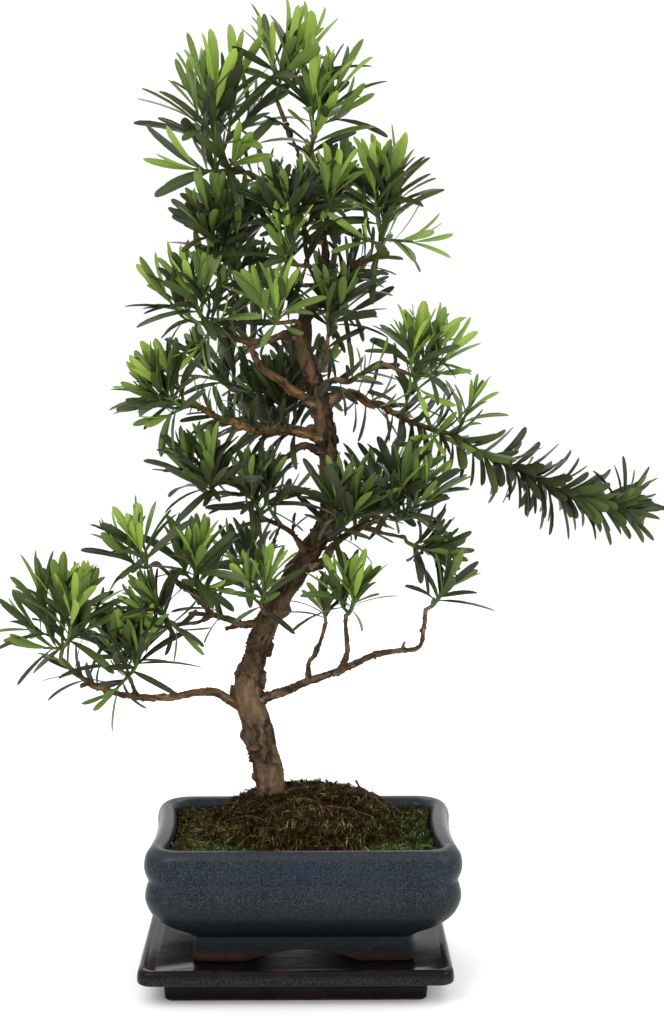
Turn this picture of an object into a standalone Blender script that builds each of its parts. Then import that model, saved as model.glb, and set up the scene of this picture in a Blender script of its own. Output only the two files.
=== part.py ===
"""A buddhist pine (Podocarpus) bonsai about 64 cm tall, in a glazed pot on its saucer.

The frame is in metres with +Z up. The origin is the middle of the saucer's flat underside, the
front of the pot faces -Y, and the long low boughs reach to -X and +X. Sizes below are in
millimetres, and mm() turns them into metres.

The trunk is one tapering solid from its flat cut in the soil to its tip inside the crown. Each
bough is one tapering limb that is cut 0.3 mm clear of the limb it leaves. Each mass of leaves is
one solid: a stem, shoots that fan out from it, and strap leaves in a spiral on the shoots.
"""

import math
import random

import bmesh
import bpy
import numpy as np
from mathutils import Matrix, Vector
from mathutils.bvhtree import BVHTree

GAP = 0.3                     # air between two parts that touch in the real thing
SLACK = 0.15                  # added to the gap where flat faces stand in for a round surface
CORNER_SHRINK = 0.45          # how fast a vessel's corner radius falls as its wall goes inward
LEAST_CORNER = 4

# Saucer, measured on the band around its rim
SAUCER_LENGTH = 204.5
SAUCER_DEPTH = 158
SAUCER_CORNER = 9
SAUCER_FLOOR = 21.4
# How far in from the band, and how high, from the underside up over the rim to the floor
SAUCER_PROFILE = ((18.5, 0), (17, 1.5), (16, 14), (14.5, 15), (2, 15), (0.6, 15.8), (0, 18),
                  (0.4, 22.6), (1.6, 24.6), (3.2, 25.1), (5, 24.6), (6.4, 23.2), (11, SAUCER_FLOOR))

# Pot, measured on the bulge below its lip
POT_SHIFT = 5                 # the pot stands this far right of the saucer's middle
POT_LENGTH = 206
POT_DEPTH = 160
POT_CORNER = 21
POT_PINCH = 3                 # hollow of the short walls
FOOT_BOTTOM = SAUCER_FLOOR + GAP
POT_FLOOR = 48
# The underside inside the foot, the foot, the belly, the groove, the lip and the inner wall
POT_PROFILE = ((39, 36), (36.5, FOOT_BOTTOM), (31.5, FOOT_BOTTOM), (30.2, 23), (30.6, 38.5),
               (26, 42), (17, 47), (9.5, 52.5), (4, 59), (1, 66.5), (0.7, 71.5), (2, 77),
               (2.7, 80), (1, 84.5), (0, 89.5), (0.8, 95.5), (2.8, 99.6), (6.2, 102.4),
               (9.8, 101.8), (12.8, 98.8), (13.7, 94), (13.7, 64), (18, 54), (28, POT_FLOOR))
INNER_WALL = POT_PROFILE[-4:]
ARCH_WIDTH = 78               # shallow arch cut through the foot, front and back
ARCH_RISE = 8.5
DRAIN_RADIUS = 7
DRAIN_SPACING = 80
DRAIN_CUT = 30                # length of the tool that cuts a drain hole

# Soil
SOIL_EDGE = 95.5              # height along the wall
SOIL_RISE = 28                # height of the mound above that
MOUND_PLACE = (7, 4)
MOUND_REACH = (70, 60)        # half its length and half its depth
ROUGHNESS = 1.1               # height of its small humps
SOIL_RINGS = 7
CUT_LEVEL = 115.5             # flat cut under the trunk
POCKET_RADIUS = 13.8          # hole in the soil where the trunk stands

# Trunk: places along its middle, from the cut to the tip, and its half thickness along the way
TRUNK_ROUTE = ((-16, 0, 104), (-16.5, 0, 122), (-21, -1, 148), (-28.2, -4, 176), (-31.8, -6, 194),
               (-27.3, -6, 215), (-18.3, -3, 242), (-3, 1, 267), (11, 5, 288), (22, 7, 309), (24, 7, 334),
               (20, 4, 366), (16, 2, 387), (9, 1, 410), (3, 0, 432), (10, 2, 446), (18, 4, 456),
               (22, 6, 469), (20, 8, 488), (16, 8, 505), (10, 8, 526), (2, 7, 549), (-6, 5, 569))
TRUNK_RADII = ((104, 9.3), (194, 9.7), (215, 8.4), (267, 7.2), (334, 6.9), (370, 6.6), (410, 5.9),
               (432, 5), (456, 3.2), (569, 1.5))
FLARE = 2.4                   # what the root flare adds to the half thickness at the cut
FLARE_HEIGHT = 7
FLARE_LOBES = 4
LOBE_DEPTH = 0.1              # share of the half thickness by which the roots stand out at the cut
LOBE_TURN = 0.6               # radians
TRUNK_STEP = 12               # length of one straight stretch along the trunk
LIMB_STEP = 10
STEM_STEP = 8
THICK_LIMB = 2.5              # half thickness from which a bough has eight sides, not six

# Boughs: the limb each leaves, its half thickness at the start and the end, and its route. Each
# route starts on the middle line of the limb it leaves.
BOUGHS = {
    "bough_low_left": ("trunk", 3.1, 1.6, (
        (-30, -5, 178), (-43, -9, 187), (-53, -14, 194), (-65, -18, 195), (-82, -24, 193),
        (-101, -30, 194), (-119, -34, 198), (-134, -36, 205), (-144, -37, 212), (-150, -38, 219))),
    "bough_low_left_spur": ("bough_low_left", 1.5, 1.3, ((-104, -31, 194.5), (-107, -33, 204))),
    "bough_low_right": ("trunk", 3, 1.5, (
        (-29, -6, 187), (-11, -12, 193), (9, -16, 202), (30, -20, 210), (52, -24, 221), (70, -26, 224),
        (81, -28, 227), (84, -28, 238), (85, -28, 248))),
    "bough_low_right_inner": ("bough_low_right", 1.6, 1.2, (
        (8, -16, 201.5), (9, -19, 215), (13, -22, 221), (17, -26, 232), (19, -28, 240))),
    "bough_low_right_middle": ("bough_low_right", 2, 1.3, (
        (30, -20, 210), (34, -26, 224), (33, -30, 238), (33, -32, 246))),
    "bough_middle_right": ("trunk", 3.4, 1.8, (
        (5, 3, 276), (18, 1, 279), (25, -5, 291), (35, -10, 300), (47, -12, 306), (57, -12, 310))),
    "bough_hanging": ("bough_middle_right", 1.5, 1.2, ((44, -12, 305), (57, -7, 300), (70, -4, 297))),
    "bough_long_right": ("trunk", 3.7, 2.5, (
        (17, 3, 383), (28, 6, 390), (35, 8, 391.5), (42, 8, 390), (49, 5, 385), (57, 1, 384),
        (63, -2, 380))),
    "bough_upper_right": ("trunk", 2.3, 1.6, (
        (14, 2, 394), (27, -8, 401), (35, -12, 400), (43, -16, 405), (54, -20, 410))),
    "bough_orange": ("trunk", 3.1, 2.2, (
        (21, 5, 362), (2, -2, 366), (-12, -8, 368), (-25, -14, 368), (-36, -20, 372), (-48, -26, 376),
        (-61, -33, 384))),
    "bough_middle_left": ("trunk", 2.6, 1.4, (
        (22, 6, 352), (4, 2, 357), (-6, 0, 350), (-21, -4, 342), (-29, -8, 331), (-35, -11, 326),
        (-45, -16, 327))),
    "bough_inner_left": ("trunk", 2.2, 1.2, (
        (8, 4, 284), (-2, -4, 299), (-10, -9, 305), (-20, -14, 310))),
    "bough_lower_left": ("trunk", 2.5, 1.6, (
        (-20, -4, 239), (-36, -8, 239), (-45, -12, 243), (-55, -16, 247), (-60, -20, 254),
        (-64, -23, 265))),
    "bough_lower_left_outer": ("bough_lower_left", 1.7, 1.3, (
        (-60, -20, 254), (-71, -28, 265), (-80, -34, 274), (-87, -37, 281))),
    "bough_lower_left_front": ("bough_lower_left", 1.5, 1.2, (
        (-55, -16, 247), (-64, -26, 243), (-74, -34, 243))),
    "bough_fork_left": ("trunk", 3, 1.6, (
        (3, 0, 429), (-7, -6, 430), (-14, -10, 428), (-24, -12, 426), (-35, -12, 427), (-45, -12, 431))),
    "bough_upper_left": ("trunk", 3.2, 1.6, (
        (15, 2, 384), (6, -4, 389), (-3, -6, 395), (-12, -4, 402), (-21, 0, 407), (-28, 8, 419),
        (-35, 13, 433), (-38, 15, 449), (-39, 14, 462))),
    "bough_leader_right": ("trunk", 2.8, 1.8, (
        (17, 4, 452), (25, 4, 461), (34, 6, 471), (46, 4, 478), (55, 2, 483))),
    "bough_top_left": ("trunk", 2, 1.3, ((13, 8, 516), (-3, 6, 525), (-20, 4, 531), (-34, 2, 537))),
}

# Masses of leaves. A mass on the trunk gives the height at which its stem leaves the trunk, and
# any other grows from its bough's tip. Then come the middle where its stem forks, the way it
# leans, how many shoots fan out, how far they spread and the turn of the first, in degrees, how
# long they are, how long their leaves are, and how many leaves one shoot bears.
MASSES = {
    "leaves_low_left_tip": ("bough_low_left", None, (-151, -39, 228), (0.1, 0, 1), 4, 48, 0, 34, 40, 8),
    "leaves_low_left_middle": (
        "bough_low_left_spur", None, (-109, -34, 209), (0.15, 0, 1), 4, 50, 270, 24, 36, 7),
    "leaves_low_right_tip": (
        "bough_low_right", None, (90, -28, 254), (0.75, 0, 0.9), 2, 34, 0, 15, 32, 6),
    "leaves_low_right_inner": (
        "bough_low_right_inner", None, (20, -29, 243), (-0.15, 0, 1), 2, 28, 0, 10, 27, 5),
    "leaves_low_right_middle": (
        "bough_low_right_middle", None, (35, -35, 250), (0, -0.1, 1), 3, 42, 0, 16, 34, 7),
    "leaves_middle_right": (
        "bough_middle_right", None, (67, -14, 309), (0.5, -0.1, 0.9), 4, 44, 90, 26, 36, 7),
    "leaves_hanging": ("bough_hanging", None, (74, -3, 293), (0.8, 0, -0.35), 2, 28, 0, 20, 30, 8),
    "leaves_middle_right_inner": ("trunk", 300, (29, -25, 306), (0.3, -0.3, 1), 3, 42, 90, 20, 36, 8),
    "leaves_upper_right": (
        "bough_upper_right", None, (77, -25, 404), (0.45, -0.1, 0.9), 4, 48, 90, 24, 33, 8),
    "leaves_left": ("bough_orange", None, (-72, -37, 384), (-0.8, 0, 0.6), 4, 46, 60, 22, 35, 8),
    "leaves_left_outer": (
        "bough_fork_left", None, (-58, -15, 438), (-0.5, -0.1, 0.9), 4, 46, 60, 29, 36, 8),
    "leaves_middle_left": (
        "bough_middle_left", None, (-55, -20, 326), (-0.2, -0.1, 1), 3, 42, 60, 21, 36, 8),
    "leaves_inner_left": ("bough_inner_left", None, (-23, -18, 315), (-0.1, -0.2, 1), 3, 40, 90, 20, 32, 7),
    "leaves_lower_left": ("bough_lower_left", None, (-67, -27, 270), (0, -0.15, 1), 3, 42, 0, 19, 33, 8),
    "leaves_lower_left_outer": (
        "bough_lower_left_outer", None, (-96, -41, 281), (-0.6, 0, 0.9), 3, 42, 90, 18, 33, 8),
    "leaves_lower_left_front": (
        "bough_lower_left_front", None, (-82, -40, 246), (-0.8, -0.2, 0.7), 3, 36, 90, 18, 29, 7),
    "leaves_trunk_low_left": ("trunk", 244, (-23, -26, 255), (0, -0.2, 1), 3, 42, 0, 18, 31, 7),
    "leaves_centre_left": ("trunk", 368, (-7, 20, 370), (-0.5, 0.1, 0.8), 3, 40, 90, 20, 38, 8),
    "leaves_fork_front": ("trunk", 436, (-12, -27, 438), (-0.1, -0.3, 1), 3, 40, 0, 14, 36, 6),
    "leaves_leader_front": ("trunk", 474, (-3, -22, 476), (-0.3, -0.3, 1), 2, 26, 0, 12, 35, 6),
    "leaves_upper_left": ("bough_upper_left", None, (-42, 0, 478), (-0.1, -0.1, 1), 4, 40, 90, 32, 37, 9),
    "leaves_top_left": ("bough_top_left", None, (-52, 2, 537), (0, 0, 1), 3, 16, 90, 55, 47, 12),
    "leaves_top": ("trunk", 570, (-12, 4, 584), (0.45, 0, 1), 3, 22, 90, 30, 43, 9),
    "leaves_top_right": ("trunk", 541, (12, -6, 561), (0.2, 0, 1), 3, 32, 90, 28, 41, 9),
    "leaves_leader_middle": ("trunk", 508, (22, -20, 515), (0.1, -0.3, 1), 2, 24, 0, 13, 32, 7),
    "leaves_leader_left": ("trunk", 505, (3, -14, 503), (0, -0.1, 1), 2, 20, 0, 11, 31, 7),
    "leaves_leader_low": ("trunk", 492, (-4, -24, 500), (-0.1, -0.2, 1), 3, 42, 0, 20, 34, 8),
    "leaves_right_top": ("bough_leader_right", None, (57, -2, 493), (0, 0, 1), 3, 20, 60, 40, 38, 10),
    "leaves_trunk_upper_right": ("trunk", 408, (22, -10, 432), (0.15, 0, 1), 3, 32, 90, 19, 34, 8),
    "leaves_back_top": ("trunk", 500, (24, 40, 513), (0.1, 0.6, 1), 3, 42, 60, 26, 37, 5),
    "leaves_back_right": ("trunk", 446, (29, 44, 450), (0.1, 0.8, 0.6), 3, 40, 60, 24, 35, 5),
    "leaves_back_upper_left": ("trunk", 462, (-38, 50, 464), (-0.2, 0.8, 0.6), 3, 42, 30, 26, 36, 5),
    "leaves_back_middle": ("trunk", 393, (4, 50, 396), (0, 1, 0.4), 3, 45, 30, 26, 36, 5),
    "leaves_back_middle_right": ("trunk", 312, (54, 46, 316), (0.5, 0.7, 0.4), 3, 40, 60, 24, 34, 5),
    "leaves_back_middle_left": ("trunk", 396, (-44, 38, 394), (-0.3, 0.5, 0.8), 3, 42, 60, 25, 36, 5),
    "leaves_back_low": ("trunk", 250, (-30, 36, 264), (-0.3, 0.7, 0.6), 3, 40, 60, 24, 34, 5),
}
# Lower shoots that a mass's stem bears on its way: where along the stem, and the way each goes
LOW_SHOOTS = {
    "leaves_top_left": ((0.5, (5, -13, 4)), (1, (-14, -8, 1))),
    "leaves_top_right": ((0.5, (3, -9, 9)),),
    "leaves_right_top": ((0.5, (-14, -15, 4)), (1, (20, -5, -2))),
    "leaves_left_outer": ((0.5, (-10, -12, -14)), (1, (13, -8, 3))),
    "leaves_left": ((1, (-11, -8, -6)),),
    "leaves_centre_left": ((1, (-17, -4, 1)),),
    "leaves_upper_right": ((1, (3, -7, -12)),),
    "leaves_inner_left": ((0.5, (18, -6, 13)),),
    "leaves_lower_left": ((0.5, (14, -9, -3)),),
    "leaves_lower_left_front": ((1, (9, -8, -7)),),
    "leaves_low_left_middle": ((1, (-9, -8, -9)),),
    "leaves_low_left_tip": ((1, (-12, -4, 1)),),
}
# The long right bough's end bears leaves all along a stem that runs on through these places
LONG_MASS = "leaves_long_right"
LONG_STEM = ((77, -6, 373), (92, -8, 368), (106, -8, 364), (120, -6, 354), (137, -4, 346),
             (154, -2, 338), (170, 0, 329), (188, 2, 323), (206, 4, 318), (223, 5, 313))
# Where along that stem a side shoot leaves it, and the way it goes, in millimetres
LONG_SHOOTS = ((0.05, (8, -6, 24)), (0.28, (10, -8, 24)), (0.93, (9, -5, 9)), (0.22, (-1, -12, -5)))

# Stems and shoots. A stem runs straight out of its limb for a little before it bends, and a shoot
# turns up from its own way to the way its mass leans.
STEM_RADII = (1.5, 1.1)
SHOOT_RADII = (1.3, 1.1)
TIP_RUN = (4, 0.4)            # the straight run from a bough's tip, and the most of the stem it takes
SIDE_RUN = (5, 0.35)          # the same from the side of the trunk
SHOOT_JITTER = 7              # degrees
SHOOT_LENGTHS = (0.85, 1.15)  # of the mass's reach
INNER_SPREAD = 0.25           # share of the spread that a fourth shoot, inside the other three, has
BEND_SHARE = 0.45             # of the shoot's length up to its bend, and after it
TIP_SHARE = 0.6
UPWARD = 0.35                 # how far the mass's way is turned up for that
TURN_UP = 0.65                # how far the tip has turned to it

# Leaves
LEAF_WIDTH = 0.235            # of the length
LEAF_THICKNESS = 1.4
LEAF_KEEL = 0.6               # share of the thickness below the leaf's middle plane
LEAF_ROOT = 0.11              # size of the root's triangle, sunk in the shoot, next to the widest one
LEAF_WIDEST = 0.52            # of the length
LEAST_LENGTH = 0.86           # of a leaf at the shoot's end, next to one a third of the way up
LEAF_LENGTHS = (0.9, 1.06)    # the chance spread of that
RECURVES = (0.22, 0.06)       # how far the lowest and the topmost leaf bend back, of the length
PITCHES = (66, 12)            # degrees from the shoot of its lowest and its topmost leaf
PITCH_JITTER = 8
FIRST_LEAF = 0.08             # how far up a shoot its leaves begin and end
LAST_LEAF = 0.985
BARE_REACH = 0.95             # share of the reach, back from the tip, that a mass's first twig is in leaf
LOW_FULLNESS = 0.65           # leaves on a low shoot, next to those on one at the stem's end
LOW_LENGTH = 0.85             # and their length
LEAVES_ON_LONG_STEM = 34
LEAVES_ON_LONG_SHOOTS = 8
LONG_STEM_FIRST_LEAF = 0.03
LONG_STEM_PITCHES = (58, 34)
LONG_MASS_LEAF = 35
LONG_MASS_FACE = (0, -0.7, 0.7)  # the way the long bough's leaves face
GOLDEN_ANGLE = math.radians(137.5)
# Shares of its length and turns aside, in degrees, that are tried for a leaf till it fits
LEAF_TRIES = ((1, 0), (1, 24), (1, -24), (0.85, 0), (0.85, 40), (0.85, -40), (0.7, 0), (0.7, 60))
SIDE_TURN = math.cos(math.radians(25))  # a leaf leaves a flat side of its twig at least this squarely
# Shares of a fused mass's faces that are kept when those that add no shape are merged; the next is
# used where the one before leaves the mass touching itself
KEPT_FACES = (0.61, 0.64, 0.67, 0.7, 0.73, 0.76, 0.79, 0.82, 0.86, 0.9, 1)
SAME_PLACE = 1.1e-6           # metres; corners nearer than this count as one
SPACE_MARGIN = 0.4            # from the border between two masses
LIMB_MARGIN = 0.7             # from a leaf's middle plane to a limb's surface
SEED = 7

COLOURS = {
    "saucer": ((0.012, 0.010, 0.012), 0.12),
    "pot": ((0.035, 0.055, 0.085), 0.3),
    "soil": ((0.055, 0.035, 0.018), 0.95),
    "bark": ((0.13, 0.075, 0.045), 0.85),
    "young_leaf": ((0.16, 0.34, 0.045), 0.42),
    "leaf": ((0.035, 0.10, 0.025), 0.4),
}
YOUNG_MASSES = ("leaves_upper_right", "leaves_right_top", "leaves_top", "leaves_leader_front",
                "leaves_leader_middle", "leaves_fork_front", "leaves_low_right_middle")


def mm(*values):
    """Millimetres as a vector in metres."""
    return Vector(values) * 0.001


def clear_scene():
    for thing in list(bpy.data.objects):
        bpy.data.objects.remove(thing, do_unlink=True)


def new_collection(name):
    collection = bpy.data.collections.new(name)
    bpy.context.scene.collection.children.link(collection)
    return collection


def material(name):
    colour, roughness = COLOURS[name]
    made = bpy.data.materials.get(name) or bpy.data.materials.new(name)
    made.use_nodes = True
    shader = made.node_tree.nodes["Principled BSDF"]
    shader.inputs["Base Color"].default_value = (*colour, 1)
    shader.inputs["Roughness"].default_value = roughness
    shader.inputs["Metallic"].default_value = 0
    made.diffuse_color = (*colour, 1)
    return made


def add_object(name, mesh, collection, finish=None):
    made = bpy.data.objects.new(name, mesh)
    collection.objects.link(made)
    if finish:
        mesh.materials.clear()
        mesh.materials.append(material(finish))
    return made


def hide_as_cutter(thing):
    thing.hide_render = True
    thing.display_type = "WIRE"


def rounded_ring(half_x, half_y, corner, pinch=0):
    """Places round a rectangle with round corners, whose short sides may be hollow."""
    corner_steps, side_steps = 3, 4 if pinch else 1
    places = []
    for quarter, (sx, sy) in enumerate(((1, 1), (-1, 1), (-1, -1), (1, -1))):
        cx, cy = sx * (half_x - corner), sy * (half_y - corner)
        for step in range(corner_steps + 1):
            angle = math.radians(90 * quarter + 90 * step / corner_steps)
            places.append((cx + corner * math.cos(angle), cy + corner * math.sin(angle)))
        if quarter % 2:
            reach = half_y - corner
            for step in range(1, side_steps):
                across = reach * (1 - 2 * step / side_steps)
                inward = pinch * (1 - (across / reach) ** 2)
                places.append((sx * (half_x - inward), sy * across))
        else:
            places.append((0, sy * half_y))
    return places


def loft(name, rings, collection, finish):
    """One closed solid through rings of places, each a list of (x, y, z) in millimetres."""
    bm = bmesh.new()
    made = [[bm.verts.new(mm(*place)) for place in ring] for ring in rings]
    count = len(rings[0])
    for low, high in zip(made, made[1:]):
        for i in range(count):
            j = (i + 1) % count
            bm.faces.new((low[i], low[j], high[j], high[i]))
    bm.faces.new(list(reversed(made[0])))
    bm.faces.new(made[-1])
    bmesh.ops.recalc_face_normals(bm, faces=bm.faces)
    mesh = bpy.data.meshes.new(name)
    bm.to_mesh(mesh)
    bm.free()
    mesh.shade_smooth()
    mesh.set_sharp_from_angle(angle=math.radians(50))
    return add_object(name, mesh, collection, finish)


def profile_rings(profile, length, depth, corner, pinch, shift):
    """Rings for a rounded rectangular vessel: each row of the profile is (inset, height)."""
    rings = []
    for inset, height in profile:
        radius = max(corner - CORNER_SHRINK * inset, LEAST_CORNER)
        ring = rounded_ring(length / 2 - inset, depth / 2 - inset, radius, pinch)
        rings.append([(x + shift, y, height) for x, y in ring])
    return rings


def build_saucer(parts):
    rings = profile_rings(SAUCER_PROFILE, SAUCER_LENGTH, SAUCER_DEPTH, SAUCER_CORNER, pinch=0, shift=0)
    loft("saucer", rings, parts, "saucer")


def cut_with(target, cutter, solver="EXACT"):
    """Cuts the cutter out of the target, for good."""
    boolean = target.modifiers.new("cut", "BOOLEAN")
    boolean.operation = "DIFFERENCE"
    boolean.solver = solver
    boolean.object = cutter
    apply_modifiers(target)


def apply_modifiers(target):
    depsgraph = bpy.context.evaluated_depsgraph_get()
    mesh = bpy.data.meshes.new_from_object(target.evaluated_get(depsgraph))
    old = target.data
    target.modifiers.clear()
    target.data = mesh
    bpy.data.meshes.remove(old)


def build_pot(parts, cutters):
    rings = profile_rings(POT_PROFILE, POT_LENGTH, POT_DEPTH, POT_CORNER, POT_PINCH, POT_SHIFT)
    pot = loft("pot", rings, parts, "pot")
    arch_radius = ((ARCH_WIDTH / 2) ** 2 + ARCH_RISE ** 2) / (2 * ARCH_RISE)
    bpy.ops.mesh.primitive_cylinder_add(vertices=96, radius=arch_radius * 0.001, depth=POT_DEPTH * 0.001,
                                        location=mm(POT_SHIFT, 0, FOOT_BOTTOM + ARCH_RISE - arch_radius),
                                        rotation=(math.radians(90), 0, 0))
    arch = bpy.context.object
    arch.name = "foot_arch_cutter"
    tools = [arch]
    for side in (-1, 1):
        bpy.ops.mesh.primitive_cylinder_add(vertices=20, radius=DRAIN_RADIUS * 0.001,
                                            depth=DRAIN_CUT * 0.001,
                                            location=mm(POT_SHIFT + side * DRAIN_SPACING / 2, 0, POT_FLOOR))
        bpy.context.object.name = "drain_cutter"
        tools.append(bpy.context.object)
    for tool in tools:
        for owner in list(tool.users_collection):
            owner.objects.unlink(tool)
        cutters.objects.link(tool)
        hide_as_cutter(tool)
        cut_with(pot, tool)


def mound_height(x, y):
    """Height of the soil at a place: a broad mound round the trunk, a little rough."""
    reach = math.hypot((x - MOUND_PLACE[0]) / MOUND_REACH[0], (y - MOUND_PLACE[1]) / MOUND_REACH[1])
    rise = SOIL_RISE * max(0, 1 - reach ** 3.6) ** 1.2
    rough = math.sin(0.31 * x + 0.8) * math.sin(0.37 * y + 2.1) + 0.6 * math.sin(0.83 * x - 0.6 * y)
    return SOIL_EDGE + rise + ROUGHNESS * rough * min(1, rise / 8)


def build_soil(parts):
    wall = [(inset + GAP + SLACK, height + GAP + SLACK) for inset, height in reversed(INNER_WALL)]
    wall = [row for row in wall if row[1] < SOIL_EDGE]
    wall.append((INNER_WALL[0][0] + GAP + SLACK, SOIL_EDGE))
    rings = profile_rings(wall, POT_LENGTH, POT_DEPTH, POT_CORNER, POT_PINCH, POT_SHIFT)
    outline = [place[:2] for place in rings[-1]]
    foot = TRUNK_ROUTE[0]
    rim = []
    for x, y in outline:
        angle = math.atan2(y - foot[1], x - foot[0])
        rim.append((foot[0] + POCKET_RADIUS * math.cos(angle), foot[1] + POCKET_RADIUS * math.sin(angle)))
    for ring in range(1, SOIL_RINGS + 1):
        inward = (ring / SOIL_RINGS) ** 1.1
        blend = [(a[0] + (b[0] - a[0]) * inward, a[1] + (b[1] - a[1]) * inward)
                 for a, b in zip(outline, rim)]
        rings.append([(x, y, mound_height(x, y)) for x, y in blend])
    rings.append([(x, y, CUT_LEVEL - GAP) for x, y in rim])
    loft("soil", rings, parts, "soil")


def smooth_route(places, step):
    """Points a step apart on a Catmull-Rom curve through the places, in millimetres."""
    places = [Vector(place) for place in places]
    if len(places) == 2:
        places.insert(1, (places[0] + places[1]) / 2)
    ends = [2 * places[0] - places[1], *places, 2 * places[-1] - places[-2]]
    route = [places[0]]
    for a, b, c, d in zip(ends, ends[1:], ends[2:], ends[3:]):
        pieces = max(1, round((c - b).length / step))
        for piece in range(1, pieces + 1):
            t = piece / pieces
            route.append(0.5 * (2 * b + (c - a) * t + (2 * a - 5 * b + 4 * c - d) * t ** 2
                                + (3 * b - a - 3 * c + d) * t ** 3))
    return route


def tapered(route, start, end):
    """Half thickness at each point, by the share of the length behind it."""
    lengths = [0]
    for a, b in zip(route, route[1:]):
        lengths.append(lengths[-1] + (b - a).length)
    return [start + (end - start) * along / lengths[-1] for along in lengths]


def triangle_profile():
    """The section of a three-sided twig, one unit from its middle to each corner."""
    curve = bpy.data.curves.new("twig_section", "CURVE")
    curve.dimensions = "2D"
    spline = curve.splines.new("POLY")
    spline.points.add(2)
    for i, point in enumerate(spline.points):
        angle = 2 * math.pi * i / 3
        point.co = (math.cos(angle), math.sin(angle), 0, 1)
    spline.use_cyclic_u = True
    section = bpy.data.objects.new("twig_section", curve)
    hide_as_cutter(section)
    return section


def tube(name, route, radii, collection, sides=8, section=None):
    """A limb as a curve with caps, turned into one closed mesh."""
    curve = bpy.data.curves.new(name, "CURVE")
    curve.dimensions = "3D"
    curve.use_fill_caps = True
    if section:
        curve.bevel_mode = "OBJECT"
        curve.bevel_object = section
    else:
        curve.bevel_depth = 1
        curve.bevel_resolution = (sides - 4) // 2
    spline = curve.splines.new("POLY")
    spline.points.add(len(route) - 1)
    for point, place, radius in zip(spline.points, route, radii):
        point.co = (*mm(*place), 1)
        point.radius = radius * 0.001
    made = bpy.data.objects.new(name, curve)
    collection.objects.link(made)
    bpy.context.view_layer.update()
    mesh = bpy.data.meshes.new_from_object(made.evaluated_get(bpy.context.evaluated_depsgraph_get()))
    bpy.data.objects.remove(made, do_unlink=True)
    bm = bmesh.new()
    bm.from_mesh(mesh)
    bmesh.ops.remove_doubles(bm, verts=bm.verts, dist=SAME_PLACE)
    bmesh.ops.recalc_face_normals(bm, faces=bm.faces)
    bm.to_mesh(mesh)
    bm.free()
    mesh.shade_smooth()
    return add_object(name, mesh, collection, "bark")


def trunk_radius(height):
    """Half thickness of the trunk at a height: its taper and the flare above the cut."""
    heights, radii = zip(*TRUNK_RADII)
    flare = FLARE * math.exp(-max(0, height - CUT_LEVEL) / FLARE_HEIGHT)
    return float(np.interp(height, heights, radii)) + flare


class Limb:
    """A limb's middle line and half thickness, in millimetres."""

    def __init__(self, route, radii):
        self.route = route
        self.radii = radii

    def tip(self):
        return self.route[-1], (self.route[-1] - self.route[-2]).normalized()

    def at_height(self, height):
        """The place, direction and half thickness where the limb passes a height."""
        for a, b, radius in zip(self.route, self.route[1:], self.radii):
            if a.z <= height <= b.z:
                return a.lerp(b, (height - a.z) / (b.z - a.z)), (b - a).normalized(), radius
        return self.route[-1], self.tip()[1], self.radii[-1]


def build_trunk(parts):
    route = smooth_route(TRUNK_ROUTE, TRUNK_STEP)
    limb = Limb(route, [trunk_radius(place.z) for place in route])
    trunk = tube("trunk", limb.route, limb.radii, parts, sides=10)
    bm = bmesh.new()
    bm.from_mesh(trunk.data)
    foot = mm(*TRUNK_ROUTE[0])
    for vertex in bm.verts:
        above = max(0, vertex.co.z / 0.001 - CUT_LEVEL)
        if above < 5 * FLARE_HEIGHT:
            out = vertex.co - foot
            lobe = math.cos(FLARE_LOBES * math.atan2(out.y, out.x) + LOBE_TURN)
            swell = 1 + LOBE_DEPTH * lobe * math.exp(-above / FLARE_HEIGHT)
            vertex.co.x = foot.x + out.x * swell
            vertex.co.y = foot.y + out.y * swell
    everything = [*bm.verts, *bm.edges, *bm.faces]
    cut = bmesh.ops.bisect_plane(bm, geom=everything, plane_co=mm(0, 0, CUT_LEVEL), plane_no=(0, 0, 1),
                                 clear_inner=True)
    rim = [edge for edge in cut["geom_cut"] if isinstance(edge, bmesh.types.BMEdge)]
    bmesh.ops.holes_fill(bm, edges=rim)
    bmesh.ops.recalc_face_normals(bm, faces=bm.faces)
    bm.to_mesh(trunk.data)
    bm.free()
    trunk.data.set_sharp_from_angle(angle=math.radians(60))
    return limb


def build_boughs(limbs, parts, cutters):
    """Each bough is cut by a slightly thicker copy of every limb that it starts in."""
    for name, (parent, start, end, places) in BOUGHS.items():
        route = smooth_route(places, LIMB_STEP)
        limb = Limb(route, tapered(route, start, end))
        bough = tube(name, limb.route, limb.radii, parts, sides=8 if start > THICK_LIMB else 6)
        carrier = limbs[parent]
        thicker = [radius + GAP + SLACK for radius in carrier.radii]
        sides = 12 if parent == "trunk" else 8
        cutter = tube(name + "_cutter", carrier.route, thicker, cutters, sides=sides)
        cut_with(bough, cutter)
        keep_main_body(bough.data)
        bough.data.shade_smooth()
        bpy.data.objects.remove(cutter, do_unlink=True)
        limbs[name] = limb


def keep_main_body(mesh):
    """Drops scraps and the linings of sealed hollows, and says whether what is left is closed."""
    bm = bmesh.new()
    bm.from_mesh(mesh)
    bmesh.ops.triangulate(bm, faces=bm.faces)
    bmesh.ops.remove_doubles(bm, verts=bm.verts, dist=SAME_PLACE)
    left = set(bm.faces)
    bodies = []
    while left:
        body, to_visit = [], [left.pop()]
        while to_visit:
            face = to_visit.pop()
            body.append(face)
            for edge in face.edges:
                for other in edge.link_faces if len(edge.link_faces) == 2 else ():
                    if other in left:
                        left.discard(other)
                        to_visit.append(other)
        bodies.append(body)
    bodies.sort(key=len)
    for scrap in bodies[:-1]:
        bmesh.ops.delete(bm, geom=scrap, context="FACES")
    bmesh.ops.recalc_face_normals(bm, faces=bm.faces)
    closed = all(len(edge.link_faces) == 2 for edge in bm.edges)
    bm.to_mesh(mesh)
    bm.free()
    return closed


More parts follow.
